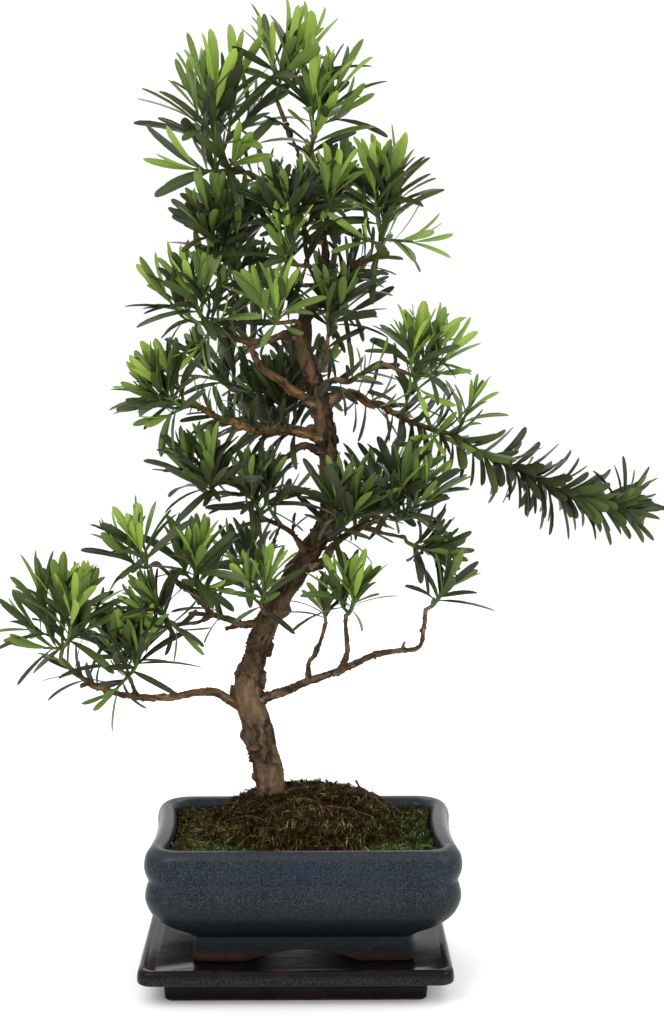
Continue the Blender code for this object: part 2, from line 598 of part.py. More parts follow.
def leaf_places(root, along, face, length, width, recurve):
    """The seven corners of a leaf: three at its root, three where it is widest, and its tip."""
    across = face.cross(along).normalized()
    corners = []
    for share, size in ((0, LEAF_ROOT), (LEAF_WIDEST, 1)):
        middle = root + along * length * share - face * recurve * length * share ** 2
        half, thick = size * width / 2, size * LEAF_THICKNESS
        lift = face * thick * (1 - LEAF_KEEL)
        corners.append(middle + across * half + lift)
        corners.append(middle - across * half + lift)
        corners.append(middle - face * thick * LEAF_KEEL)
    corners.append(root + along * length - face * recurve * length)
    return corners


def add_leaf(corners, collection):
    """A leaf from its seven corners: a three-sided cone frustum whose top is poked out to the tip."""
    bm = bmesh.new()
    bmesh.ops.create_cone(bm, cap_ends=True, segments=3, radius1=1, radius2=1, depth=1)
    top = next(face for face in bm.faces if face.calc_center_median().z > 0.4)
    tip = bmesh.ops.poke(bm, faces=[top])["verts"][0]
    rest = [vertex for vertex in bm.verts if vertex is not tip]
    rest.sort(key=lambda v: (v.co.z > 0, math.atan2(v.co.y, v.co.x)))
    for vertex, place in zip([*rest, tip], corners):
        vertex.co = mm(*place)
    bmesh.ops.recalc_face_normals(bm, faces=bm.faces)
    mesh = bpy.data.meshes.new("leaf")
    bm.to_mesh(mesh)
    bm.free()
    return add_object("leaf", mesh, collection)


def segment_table(limbs):
    """All limbs' straight stretches as arrays: start, end and the larger half thickness."""
    rows = [(a, b, max(ra, rb)) for limb in limbs
            for a, b, ra, rb in zip(limb.route, limb.route[1:], limb.radii, limb.radii[1:])]
    if not rows:
        return None
    return tuple(np.array(column) for column in zip(*rows))


def clearance(places, table):
    """The least distance from the places to the surface of any limb in the table."""
    if table is None:
        return math.inf
    start, end, radius = table
    points = np.array(places)[:, None, :]
    run = end - start
    share = np.clip(((points - start) * run).sum(-1) / (run * run).sum(-1), 0, 1)
    away = np.linalg.norm(points - (start + share[..., None] * run), axis=-1) - radius
    return away.min()


class Space:
    """The room of every mass: a place belongs to the mass with the nearest heart."""

    def __init__(self):
        self.hearts = []
        self.owners = []

    def add(self, place, owner):
        self.hearts.append(tuple(place))
        self.owners.append(owner)

    def holds(self, places, owner):
        points = np.array(places)[:, None, :]
        away = np.linalg.norm(points - np.array(self.hearts), axis=-1)
        mine = np.array([name == owner for name in self.owners])
        return bool((away[:, ~mine].min(1) - away[:, mine].min(1) > 2 * SPACE_MARGIN).all())


class Room:
    """What one mass's leaves must keep to: its own space, off every limb and off each other."""

    def __init__(self, owner, space, obstacles):
        self.owner = owner
        self.space = space
        self.obstacles = obstacles
        self.grown = []

    def takes(self, corners):
        tree = leaf_tree(corners)
        if any(tree.overlap(other) for other in self.grown):
            return False
        samples = leaf_samples(corners)
        if not self.space.holds(samples, self.owner) or clearance(samples, self.obstacles) < LIMB_MARGIN:
            return False
        self.grown.append(tree)
        return True


# The faces between a leaf's seven corners
LEAF_FACES = ((0, 1, 2), (0, 1, 4), (0, 4, 3), (1, 2, 5), (1, 5, 4), (2, 0, 3), (2, 3, 5), (3, 4, 6),
              (4, 5, 6), (5, 3, 6))


def leaf_tree(corners):
    """A leaf's faces in a search tree, which tells whether two leaves cross."""
    return BVHTree.FromPolygons([tuple(place) for place in corners], LEAF_FACES)


def leaf_samples(corners):
    """Places all over a leaf, along its two edges and its middle."""
    left, right, keel = corners[3], corners[4], corners[5]
    root = (corners[0] + corners[1] + corners[2]) / 3
    tip = corners[6]
    samples = []
    for edge in (left, right, keel):
        samples += [root.lerp(edge, share) for share in (0.16, 0.33, 0.5, 0.66, 0.83, 1)]
        samples += [edge.lerp(tip, share) for share in (0.2, 0.4, 0.6, 0.8, 1)]
    return samples


def around(axis, angle):
    """A unit vector at right angles to the axis, turned about it by the angle."""
    side = axis.cross(Vector((0, 0, 1)))
    if side.length < 0.1:
        side = axis.cross(Vector((0, 1, 0)))
    side.normalize()
    return Matrix.Rotation(angle, 3, axis) @ side


def grow_stem(mass, limbs):
    """The middle line of a mass's stem, from 0.3 mm off its limb to where its shoots fan out."""
    limb_name, height, middle = mass[:3]
    middle = Vector(middle)
    limb = limbs[limb_name]
    if height is None or height >= limb.route[-1].z:
        place, along = limb.tip()
        start = place + along * GAP
        run, most = TIP_RUN
        first = start + along * min(run, most * (middle - start).length)
    else:
        place, along, radius = limb.at_height(height)
        out = middle - place
        out = (out - along * out.dot(along)).normalized()
        start = place + out * (radius + GAP + SLACK)
        run, most = SIDE_RUN
        first = start + out * min(run, most * (middle - start).length)
    return [start, *smooth_route((first, middle), STEM_STEP)]


def fan_out(mass, rng):
    """The middle lines of the shoots that fan out from the end of a mass's stem."""
    middle, lean, count, spread, turn, reach = mass[2:8]
    middle, axis = Vector(middle), Vector(lean).normalized()
    shoots = []
    for k in range(count):
        tilt = spread if count > 1 else 0
        if k == 3:
            tilt = spread * INNER_SPREAD
        ring = min(count, 3)
        angle = math.radians(turn + 360 * k / ring + rng.uniform(-SHOOT_JITTER, SHOOT_JITTER))
        tilt = math.radians(tilt + rng.uniform(-SHOOT_JITTER, SHOOT_JITTER))
        way = axis * math.cos(tilt) + around(axis, angle) * math.sin(tilt)
        length = reach * rng.uniform(*SHOOT_LENGTHS)
        bend = middle + way * length * BEND_SHARE
        rise = (axis + Vector((0, 0, UPWARD))).normalized()
        end = bend + (way * (1 - TURN_UP) + rise * TURN_UP).normalized() * length * TIP_SHARE
        shoots.append([middle, bend, end])
    return shoots


def side_shoots(stem, plan):
    """The middle lines of the shoots that leave a stem on its way, each a place and a way."""
    shoots = []
    for share, way in plan:
        place = stem[round(share * (len(stem) - 1))]
        shoots.append([place, place + Vector(way) / 2, place + Vector(way)])
    return shoots


def squarely(twig_tree, root, out, axis):
    """The way out of a twig, turned far enough to leave it through the flat side that it meets."""
    normal = twig_tree.ray_cast(mm(*root), out)[1]
    if normal is None:
        return out
    normal = (normal - axis * normal.dot(axis)).normalized()
    if normal.dot(out) >= SIDE_TURN:
        return out
    side = (out - normal * normal.dot(out)).normalized()
    return normal * SIDE_TURN + side * math.sqrt(1 - SIDE_TURN ** 2)


def grow_leaves(room, shoot, twig_tree, plan, rng):
    """Leaves in a spiral up a shoot, in the mass's own space and off every limb and other leaf."""
    count, first_share, pitches, length, facing = plan
    kept = []
    lengths = [0]
    for a, b in zip(shoot, shoot[1:]):
        lengths.append(lengths[-1] + (b - a).length)
    turn = rng.uniform(0, 2 * math.pi)
    for i in range(count):
        share = i / max(1, count - 1)
        along = lengths[-1] * (first_share + (LAST_LEAF - first_share) * share)
        piece = next(k for k in range(len(shoot) - 1) if along <= lengths[k + 1] or k == len(shoot) - 2)
        axis = (shoot[piece + 1] - shoot[piece]).normalized()
        root = shoot[piece] + axis * (along - lengths[piece])
        pitch = pitches[0] + (pitches[1] - pitches[0]) * share
        pitch = math.radians(pitch + rng.uniform(-PITCH_JITTER, PITCH_JITTER))
        fuller = (1 - LEAST_LENGTH) * math.sin(math.pi * min(1, share + 0.2))
        size = length * (LEAST_LENGTH + fuller) * rng.uniform(*LEAF_LENGTHS)
        recurve = RECURVES[0] + (RECURVES[1] - RECURVES[0]) * share
        for shorter, aside in LEAF_TRIES:
            out = around(axis, turn + i * GOLDEN_ANGLE + math.radians(aside))
            out = squarely(twig_tree, root, out, axis)
            way = (axis * math.cos(pitch) + out * math.sin(pitch)).normalized()
            face = facing or axis
            face = (face - way * face.dot(way)).normalized()
            corners = leaf_places(root, way, face, size * shorter, length * LEAF_WIDTH, recurve)
            if room.takes(corners):
                kept.append(corners)
                break
    return kept


def join_mass(stem, pieces, finish):
    """Fuses a mass's twigs and leaves into one solid by a single Boolean union."""
    union = stem.modifiers.new("union", "BOOLEAN")
    union.operation = "UNION"
    union.operand_type = "COLLECTION"
    union.collection = pieces
    union.solver = "EXACT"
    merge = stem.modifiers.new("merge_flat_faces", "DECIMATE")
    for share in KEPT_FACES:
        merge.ratio = share
        bpy.context.view_layer.update()
        fused = bpy.data.meshes.new_from_object(stem.evaluated_get(bpy.context.evaluated_depsgraph_get()))
        if keep_main_body(fused):
            break
    stem.modifiers.clear()
    stem.data = fused
    for piece in list(pieces.objects):
        bpy.data.objects.remove(piece, do_unlink=True)
    bpy.data.collections.remove(pieces)
    fused.materials.clear()
    fused.materials.append(material(finish))


def plan_masses(limbs, rng):
    """Every mass's twigs as middle lines: its stem first, which runs on into the first shoot."""
    growth = {}
    for name, mass in MASSES.items():
        stem = grow_stem(mass, limbs)
        shoots = fan_out(mass, rng)
        growth[name] = [stem + shoots[0][1:], *shoots[1:], *side_shoots(stem, LOW_SHOOTS.get(name, ()))]
    start, along = limbs["bough_long_right"].tip()
    stem = smooth_route((start + along * GAP, *LONG_STEM), LIMB_STEP)
    growth[LONG_MASS] = [stem, *side_shoots(stem, LONG_SHOOTS)]
    return growth


def share_out_space(growth):
    """Gives each mass the places nearest to its shoots' tips, and the long one those along its stem."""
    space = Space()
    for name, twigs in growth.items():
        for twig in twigs:
            space.add(twig[-1], name)
        for place in twigs[0][1:-1:2] if name == LONG_MASS else ():
            space.add(place, name)
    return space


def leaf_plan(name, number, twig):
    """A twig's leaves: how many to try, where they begin, their pitches, length and facing."""
    if name == LONG_MASS:
        if number:
            return LEAVES_ON_LONG_SHOOTS, FIRST_LEAF, PITCHES, LONG_MASS_LEAF, None
        facing = Vector(LONG_MASS_FACE)
        return LEAVES_ON_LONG_STEM, LONG_STEM_FIRST_LEAF, LONG_STEM_PITCHES, LONG_MASS_LEAF, facing
    reach, leaf, count = MASSES[name][-3:]
    if number >= MASSES[name][4]:
        return round(count * LOW_FULLNESS), FIRST_LEAF, PITCHES, leaf * LOW_LENGTH, None
    length = sum((b - a).length for a, b in zip(twig, twig[1:]))
    first_share = FIRST_LEAF if number else 1 - BARE_REACH * reach / length
    return count, first_share, PITCHES, leaf, None


def build_masses(limbs, parts):
    """Grows each mass's leaves off everything that has grown before it, and fuses it into one solid."""
    rng = random.Random(SEED)
    growth = plan_masses(limbs, rng)
    space = share_out_space(growth)
    section = triangle_profile()
    parts.objects.link(section)
    solid_twigs = {name: [Limb(twig, [STEM_RADII[0]] * len(twig)) for twig in twigs]
                   for name, twigs in growth.items()}
    for name, twigs in growth.items():
        others = [limb for other, made in solid_twigs.items() if other != name for limb in made]
        room = Room(name, space, segment_table([*limbs.values(), *others]))
        pieces = new_collection(name + "_pieces")
        made = []
        for number, twig in enumerate(twigs):
            radii = tapered(twig, *(SHOOT_RADII if number else STEM_RADII))
            made.append(tube(name, twig, radii, pieces if number else parts, section=section))
            faces = [face.vertices for face in made[-1].data.polygons]
            tree = BVHTree.FromPolygons([vertex.co for vertex in made[-1].data.vertices], faces)
            for corners in grow_leaves(room, twig, tree, leaf_plan(name, number, twig), rng):
                add_leaf(corners, pieces)
        join_mass(made[0], pieces, "young_leaf" if name in YOUNG_MASSES else "leaf")
    bpy.data.objects.remove(section, do_unlink=True)


def main():
    clear_scene()
    parts = new_collection("podocarpus_bonsai")
    cutters = new_collection("cutters")
    build_saucer(parts)
    build_pot(parts, cutters)
    build_soil(parts)
    limbs = {"trunk": build_trunk(parts)}
    build_boughs(limbs, parts, cutters)
    build_masses(limbs, parts)


main()
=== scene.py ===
"""Looks of the buddhist pine bonsai: bark, leaves, soil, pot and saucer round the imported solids.

The file is laid out as an add-on and run as a script. Sizes are in millimetres where a table or a
name says so, and metres in Blender's own properties. The frame is the solids' own: the origin is
the middle of the saucer's flat underside, +Z is up and the pot's front faces -Y.
"""

import math
import random

import bmesh
import bpy
import numpy as np
from bpy.props import FloatProperty, FloatVectorProperty, IntProperty, PointerProperty
from bpy.types import Operator, Panel, PropertyGroup
from mathutils import Matrix, Vector, noise


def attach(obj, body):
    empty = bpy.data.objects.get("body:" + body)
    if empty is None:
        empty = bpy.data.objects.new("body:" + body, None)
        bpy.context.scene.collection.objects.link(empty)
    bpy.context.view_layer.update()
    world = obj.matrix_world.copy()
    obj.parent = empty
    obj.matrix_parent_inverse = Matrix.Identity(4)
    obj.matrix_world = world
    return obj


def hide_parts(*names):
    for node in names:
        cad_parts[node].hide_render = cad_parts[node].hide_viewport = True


bl_info = {
    "name": "Buddhist pine bonsai",
    "version": (1, 0, 0),
    "blender": (4, 5, 0),
    "location": "3D View > Sidebar > Bonsai",
    "description": "Builds a potted buddhist pine bonsai piece by piece",
    "category": "Add Mesh",
}

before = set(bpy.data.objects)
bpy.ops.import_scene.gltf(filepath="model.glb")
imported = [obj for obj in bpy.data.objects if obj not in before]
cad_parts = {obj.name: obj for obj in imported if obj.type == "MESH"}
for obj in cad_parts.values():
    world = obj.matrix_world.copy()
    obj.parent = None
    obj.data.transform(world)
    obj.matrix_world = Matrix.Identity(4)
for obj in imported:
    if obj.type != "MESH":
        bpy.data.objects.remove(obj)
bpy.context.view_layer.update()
MM = 0.001
SEED = 7

# Saucer, as in the solids: how far in from the rim's band, and how high
SAUCER_LENGTH = 204.5
SAUCER_DEPTH = 158
SAUCER_CORNER = 9
SAUCER_FLOOR = 21.4
SAUCER_PROFILE = ((18.5, 0), (17, 1.5), (16, 14), (14.5, 15), (2, 15), (0.6, 15.8), (0, 18),
                  (0.4, 22.6), (1.6, 24.6), (3.2, 25.1), (5, 24.6), (6.4, 23.2), (11, SAUCER_FLOOR))

# Pot, as in the solids
POT_SHIFT = 5
POT_LENGTH = 206
POT_DEPTH = 160
POT_CORNER = 21
POT_PINCH = 3
FOOT_BOTTOM = 21.7
POT_FLOOR = 48
POT_PROFILE = ((39, 36), (36.5, FOOT_BOTTOM), (31.5, FOOT_BOTTOM), (30.2, 23), (30.6, 38.5),
               (26, 42), (17, 47), (9.5, 52.5), (4, 59), (1, 66.5), (0.7, 71.5), (2, 77),
               (2.7, 80), (1, 84.5), (0, 89.5), (0.8, 95.5), (2.8, 99.6), (6.2, 102.4),
               (9.8, 101.8), (12.8, 98.8), (13.7, 94), (13.7, 64), (18, 54), (28, POT_FLOOR))
ARCH_WIDTH = 78
ARCH_RISE = 8.5
DRAIN_RADIUS = 7
DRAIN_SPACING = 80

# Soil
SOIL_EDGE = 95.5
SOIL_RISE = 28
MOUND_PLACE = (7, 4)
MOUND_REACH = (70, 60)
CUT_LEVEL = 115.5

# Trunk: places along its middle, and its half thickness by height
TRUNK_ROUTE = ((-16, 0, 104), (-16.5, 0, 122), (-21, -1, 148), (-28.2, -4, 176), (-31.8, -6, 194),
               (-27.3, -6, 215), (-18.3, -3, 242), (-3, 1, 267), (11, 5, 288), (22, 7, 309), (24, 7, 334),
               (20, 4, 366), (16, 2, 387), (9, 1, 410), (3, 0, 432), (10, 2, 446), (18, 4, 456),
               (22, 6, 469), (20, 8, 488), (16, 8, 505), (10, 8, 526), (2, 7, 549), (-6, 5, 569))
TRUNK_RADII = ((104, 9.3), (194, 9.7), (215, 8.4), (267, 7.2), (334, 6.9), (370, 6.6), (410, 5.9),
               (432, 5), (456, 3.2), (569, 1.5))
FLARE = 2.4
FLARE_HEIGHT = 7
FLARE_LOBES = 4
TRUNK_STEP = 12
LIMB_STEP = 10
STEM_STEP = 8
GAP = 0.3

BOUGHS = {
    "bough_low_left": ("trunk", 3.1, 1.6, (
        (-30, -5, 178), (-43, -9, 187), (-53, -14, 194), (-65, -18, 195), (-82, -24, 193),
        (-101, -30, 194), (-119, -34, 198), (-134, -36, 205), (-144, -37, 212), (-150, -38, 219))),
    "bough_low_left_spur": ("bough_low_left", 1.5, 1.3, ((-104, -31, 194.5), (-107, -33, 204))),
    "bough_low_right": ("trunk", 3, 1.5, (
        (-29, -6, 187), (-11, -12, 193), (9, -16, 202), (30, -20, 210), (52, -24, 221), (70, -26, 224),
        (81, -28, 227), (84, -28, 238), (85, -28, 248))),
    "bough_low_right_inner": ("bough_low_right", 1.6, 1.2, (
        (8, -16, 201.5), (9, -19, 215), (13, -22, 221), (17, -26, 232), (19, -28, 240))),
    "bough_low_right_middle": ("bough_low_right", 2, 1.3, (
        (30, -20, 210), (34, -26, 224), (33, -30, 238), (33, -32, 246))),
    "bough_middle_right": ("trunk", 3.4, 1.8, (
        (5, 3, 276), (18, 1, 279), (25, -5, 291), (35, -10, 300), (47, -12, 306), (57, -12, 310))),
    "bough_hanging": ("bough_middle_right", 1.5, 1.2, ((44, -12, 305), (57, -7, 300), (70, -4, 297))),
    "bough_long_right": ("trunk", 3.7, 2.5, (
        (17, 3, 383), (28, 6, 390), (35, 8, 391.5), (42, 8, 390), (49, 5, 385), (57, 1, 384),
        (63, -2, 380))),
    "bough_upper_right": ("trunk", 2.3, 1.6, (
        (14, 2, 394), (27, -8, 401), (35, -12, 400), (43, -16, 405), (54, -20, 410))),
    "bough_orange": ("trunk", 3.1, 2.2, (
        (21, 5, 362), (2, -2, 366), (-12, -8, 368), (-25, -14, 368), (-36, -20, 372), (-48, -26, 376),
        (-61, -33, 384))),
    "bough_middle_left": ("trunk", 2.6, 1.4, (
        (22, 6, 352), (4, 2, 357), (-6, 0, 350), (-21, -4, 342), (-29, -8, 331), (-35, -11, 326),
        (-45, -16, 327))),
    "bough_inner_left": ("trunk", 2.2, 1.2, (
        (8, 4, 284), (-2, -4, 299), (-10, -9, 305), (-20, -14, 310))),
    "bough_lower_left": ("trunk", 2.5, 1.6, (
        (-20, -4, 239), (-36, -8, 239), (-45, -12, 243), (-55, -16, 247), (-60, -20, 254),
        (-64, -23, 265))),
    "bough_lower_left_outer": ("bough_lower_left", 1.7, 1.3, (
        (-60, -20, 254), (-71, -28, 265), (-80, -34, 274), (-87, -37, 281))),
    "bough_lower_left_front": ("bough_lower_left", 1.5, 1.2, (
        (-55, -16, 247), (-64, -26, 243), (-74, -34, 243))),
    "bough_fork_left": ("trunk", 3, 1.6, (
        (3, 0, 429), (-7, -6, 430), (-14, -10, 428), (-24, -12, 426), (-35, -12, 427), (-45, -12, 431))),
    "bough_upper_left": ("trunk", 3.2, 1.6, (
        (15, 2, 384), (6, -4, 389), (-3, -6, 395), (-12, -4, 402), (-21, 0, 407), (-28, 8, 419),
        (-35, 13, 433), (-38, 15, 449), (-39, 14, 462))),
    "bough_leader_right": ("trunk", 2.8, 1.8, (
        (17, 4, 452), (25, 4, 461), (34, 6, 471), (46, 4, 478), (55, 2, 483))),
    "bough_top_left": ("trunk", 2, 1.3, ((13, 8, 516), (-3, 6, 525), (-20, 4, 531), (-34, 2, 537))),
}

# Masses of leaves. A mass on the trunk gives the height at which its stem leaves the trunk, and
# any other grows from its bough's tip. Then come the middle where its stem forks, the way it
# leans, how many shoots fan out, how far they spread and the turn of the first, in degrees, how
# long they are, how long their leaves are, and how many leaves one shoot bears.
MASSES = {
    "leaves_low_left_tip": ("bough_low_left", None, (-151, -39, 228), (0.1, 0, 1), 4, 48, 0, 34, 40, 8),
    "leaves_low_left_middle": (
        "bough_low_left_spur", None, (-109, -34, 209), (0.15, 0, 1), 4, 50, 270, 24, 36, 7),
    "leaves_low_right_tip": (
        "bough_low_right", None, (90, -28, 254), (0.75, 0, 0.9), 2, 34, 0, 15, 32, 6),
    "leaves_low_right_inner": (
        "bough_low_right_inner", None, (20, -29, 243), (-0.15, 0, 1), 2, 28, 0, 10, 27, 5),
    "leaves_low_right_middle": (
        "bough_low_right_middle", None, (35, -35, 250), (0, -0.1, 1), 3, 42, 0, 16, 34, 7),
    "leaves_middle_right": (
        "bough_middle_right", None, (67, -14, 309), (0.5, -0.1, 0.9), 4, 44, 90, 26, 36, 7),
    "leaves_hanging": ("bough_hanging", None, (74, -3, 293), (0.8, 0, -0.35), 2, 28, 0, 20, 30, 8),
    "leaves_middle_right_inner": ("trunk", 300, (29, -25, 306), (0.3, -0.3, 1), 3, 42, 90, 20, 36, 8),
    "leaves_upper_right": (
        "bough_upper_right", None, (77, -25, 404), (0.45, -0.1, 0.9), 4, 48, 90, 24, 33, 8),
    "leaves_left": ("bough_orange", None, (-72, -37, 384), (-0.8, 0, 0.6), 4, 46, 60, 22, 35, 8),
    "leaves_left_outer": (
        "bough_fork_left", None, (-58, -15, 438), (-0.5, -0.1, 0.9), 4, 46, 60, 29, 36, 8),
    "leaves_middle_left": (
        "bough_middle_left", None, (-55, -20, 326), (-0.2, -0.1, 1), 3, 42, 60, 21, 36, 8),
    "leaves_inner_left": ("bough_inner_left", None, (-23, -18, 315), (-0.1, -0.2, 1), 3, 40, 90, 20, 32, 7),
    "leaves_lower_left": ("bough_lower_left", None, (-67, -27, 270), (0, -0.15, 1), 3, 42, 0, 19, 33, 8),
    "leaves_lower_left_outer": (
        "bough_lower_left_outer", None, (-96, -41, 281), (-0.6, 0, 0.9), 3, 42, 90, 18, 33, 8),
    "leaves_lower_left_front": (
        "bough_lower_left_front", None, (-82, -40, 246), (-0.8, -0.2, 0.7), 3, 36, 90, 18, 29, 7),
    "leaves_trunk_low_left": ("trunk", 244, (-23, -26, 255), (0, -0.2, 1), 3, 42, 0, 18, 31, 7),
    "leaves_centre_left": ("trunk", 368, (-7, 20, 370), (-0.5, 0.1, 0.8), 3, 40, 90, 20, 38, 8),
    "leaves_fork_front": ("trunk", 436, (-12, -27, 438), (-0.1, -0.3, 1), 3, 40, 0, 14, 36, 6),
    "leaves_leader_front": ("trunk", 474, (-3, -22, 476), (-0.3, -0.3, 1), 2, 26, 0, 12, 35, 6),
    "leaves_upper_left": ("bough_upper_left", None, (-42, 0, 478), (-0.1, -0.1, 1), 4, 40, 90, 32, 37, 9),
    "leaves_top_left": ("bough_top_left", None, (-52, 2, 537), (0, 0, 1), 3, 16, 90, 55, 47, 12),
    "leaves_top": ("trunk", 570, (-12, 4, 584), (0.45, 0, 1), 3, 22, 90, 30, 43, 9),
    "leaves_top_right": ("trunk", 541, (12, -6, 561), (0.2, 0, 1), 3, 32, 90, 28, 41, 9),
    "leaves_leader_middle": ("trunk", 508, (22, -20, 515), (0.1, -0.3, 1), 2, 24, 0, 13, 32, 7),
    "leaves_leader_left": ("trunk", 505, (3, -14, 503), (0, -0.1, 1), 2, 20, 0, 11, 31, 7),
    "leaves_leader_low": ("trunk", 492, (-4, -24, 500), (-0.1, -0.2, 1), 3, 42, 0, 20, 34, 8),
    "leaves_right_top": ("bough_leader_right", None, (57, -2, 493), (0, 0, 1), 3, 20, 60, 40, 38, 10),
    "leaves_trunk_upper_right": ("trunk", 408, (22, -10, 432), (0.15, 0, 1), 3, 32, 90, 19, 34, 8),
    "leaves_back_top": ("trunk", 500, (24, 40, 513), (0.1, 0.6, 1), 3, 42, 60, 26, 37, 5),
    "leaves_back_right": ("trunk", 446, (29, 44, 450), (0.1, 0.8, 0.6), 3, 40, 60, 24, 35, 5),
    "leaves_back_upper_left": ("trunk", 462, (-38, 50, 464), (-0.2, 0.8, 0.6), 3, 42, 30, 26, 36, 5),
    "leaves_back_middle": ("trunk", 393, (4, 50, 396), (0, 1, 0.4), 3, 45, 30, 26, 36, 5),
    "leaves_back_middle_right": ("trunk", 312, (54, 46, 316), (0.5, 0.7, 0.4), 3, 40, 60, 24, 34, 5),
    "leaves_back_middle_left": ("trunk", 396, (-44, 38, 394), (-0.3, 0.5, 0.8), 3, 42, 60, 25, 36, 5),
    "leaves_back_low": ("trunk", 250, (-30, 36, 264), (-0.3, 0.7, 0.6), 3, 40, 60, 24, 34, 5),
}
# Lower shoots that a mass's stem bears on its way: where along the stem, and the way each goes
LOW_SHOOTS = {
    "leaves_top_left": ((0.5, (5, -13, 4)), (1, (-14, -8, 1))),
    "leaves_top_right": ((0.5, (3, -9, 9)),),
    "leaves_right_top": ((0.5, (-14, -15, 4)), (1, (20, -5, -2))),
    "leaves_left_outer": ((0.5, (-10, -12, -14)), (1, (13, -8, 3))),
    "leaves_left": ((1, (-11, -8, -6)),),
    "leaves_centre_left": ((1, (-17, -4, 1)),),
    "leaves_upper_right": ((1, (3, -7, -12)),),
    "leaves_inner_left": ((0.5, (18, -6, 13)),),
    "leaves_lower_left": ((0.5, (14, -9, -3)),),
    "leaves_lower_left_front": ((1, (9, -8, -7)),),
    "leaves_low_left_middle": ((1, (-9, -8, -9)),),
    "leaves_low_left_tip": ((1, (-12, -4, 1)),),
}
# The long right bough's end bears leaves all along a stem that runs on through these places
LONG_MASS = "leaves_long_right"
LONG_STEM = ((77, -6, 373), (92, -8, 368), (106, -8, 364), (120, -6, 354), (137, -4, 346),
             (154, -2, 338), (170, 0, 329), (188, 2, 323), (206, 4, 318), (223, 5, 313))
# Where along that stem a side shoot leaves it, and the way it goes, in millimetres
LONG_SHOOTS = ((0.05, (8, -6, 24)), (0.28, (10, -8, 24)), (0.93, (9, -5, 9)), (0.22, (-1, -12, -5)))

# Stems and shoots, as in the solids
TIP_RUN = (4, 0.4)            # the straight run from a bough's tip, and the most of the stem it takes
SIDE_RUN = (5, 0.35)          # the same from the side of the trunk
SHOOT_JITTER = 7              # degrees
SHOOT_LENGTHS = (0.85, 1.15)  # of the mass's reach
INNER_SPREAD = 0.25           # share of the spread that a fourth shoot, inside the other three, has
BEND_SHARE = 0.45             # of the shoot's length up to its bend, and after it
TIP_SHARE = 0.6
UPWARD = 0.35                 # how far the mass's way is turned up for that
TURN_UP = 0.65                # how far the tip has turned to it
GOLDEN_ANGLE = math.radians(137.5)
LONG_SPARSE = 0.42            # the share of the long bough's end that bears fewer leaves
LONG_LEAF = 28
LONG_FACE = (0, -0.1, 0.2)    # the way the long bough's leaves are turned to, from its own
LONG_SINK = -0.12             # how far they hang down from the way the spiral gives them
LONG_STOUTNESS = 1.5          # how much wider they are than others
LEAF_ROLL = 0.6               # how far a leaf may roll about its own length
LOW_FULLNESS = 0.65           # leaves on a low shoot, next to those on one at the stem's end
LOW_LENGTH = 0.85             # and their length
STEM_IN_LEAF = 16             # a stem longer than this bears leaves too
# Boughs in leaf: the share of the bough where its leaves begin, and how many there are
LEAFY_BOUGHS = {
    "bough_orange": (0.2, 46), "bough_upper_right": (0.15, 18), "bough_leader_right": (0.25, 22),
    "bough_top_left": (0.3, 16), "bough_fork_left": (0.4, 10), "bough_lower_left": (0.5, 14),
    "bough_middle_left": (0.55, 12), "bough_long_right": (0.45, 16), "bough_upper_left": (0.62, 16),
    "bough_middle_right": (0.5, 12), "bough_inner_left": (0.5, 6), "bough_low_left": (0.8, 13),
}
BOUGH_LEAF = 27
LEAF_RISE = 0.22              # how far leaves turn up from the way the spiral gives them

# Short dead stubs: the limb each stands on, how far along it, the way it points, its length and
# its half thickness
STUBS = (("bough_low_left", 0.12, (0.05, 0, 1), 11, 1.4), ("bough_low_right_inner", 0.45, (-0.1, 0, 1), 5, 1.3),
         ("bough_low_right", 0.8, (0.2, 0, 1), 6, 0.9), ("bough_low_right", 0.62, (0, -0.2, -1), 3, 1.1),
         ("bough_middle_left", 0.62, (-0.7, 0.2, 0.5), 9, 0.9), ("bough_orange", 0.4, (0.1, 0.2, 1), 5, 1.1),
         ("bough_long_right", 0.55, (0, 0, 1), 4, 1.2), ("bough_lower_left", 0.35, (-0.3, 0, 1), 6, 1),
         ("bough_lower_left", 0.3, (-1, -0.1, -0.3), 12, 1.6), ("bough_inner_left", 0.85, (-1, 0, 0.3), 15, 0.9),
         ("bough_inner_left", 0.4, (0.1, 0, 1), 14, 0.9), ("bough_inner_left", 0.8, (-0.45, -0.2, -1), 14, 1),
         ("trunk", 0.39, (1, -0.4, 0.05), 18, 1.3))
# Knobs on the trunk: height, direction round it in degrees (0 is +X, -90 the front), size and reach
KNOBS = ((162, 180, 3, 4), (171, 0, 1.8, 7), (246, -8, 5, 4.5), (277, 180, 2.4, 4), (182, -60, 1.4, 8),
         (300, -20, 1.8, 5), (338, 200, 1.5, 5), (388, -60, 1.8, 5), (133, -150, 1.6, 6))
CRACK_WIDTH = 0.3             # of a flake's own width
WARM_FROM = 45                # how far out a bough's skin has its full colour
# How orange a bough's skin is, from 0 to 1, and how olive, below 0
WARMTH = {
    "bough_low_left": 0.55, "bough_low_left_spur": 0.1, "bough_low_right": -0.15,
    "bough_low_right_inner": -0.5, "bough_low_right_middle": -0.6, "bough_middle_right": -0.3,
    "bough_hanging": -0.4, "bough_long_right": 0.9, "bough_upper_right": -0.7, "bough_orange": 1,
    "bough_inner_left": -0.1, "bough_lower_left": -0.8, "bough_lower_left_outer": -0.6,
    "bough_lower_left_front": -0.6, "bough_fork_left": 0.45, "bough_upper_left": 0.85,
    "bough_leader_right": 1, "bough_top_left": 0.3, "trunk": 0.3,
}


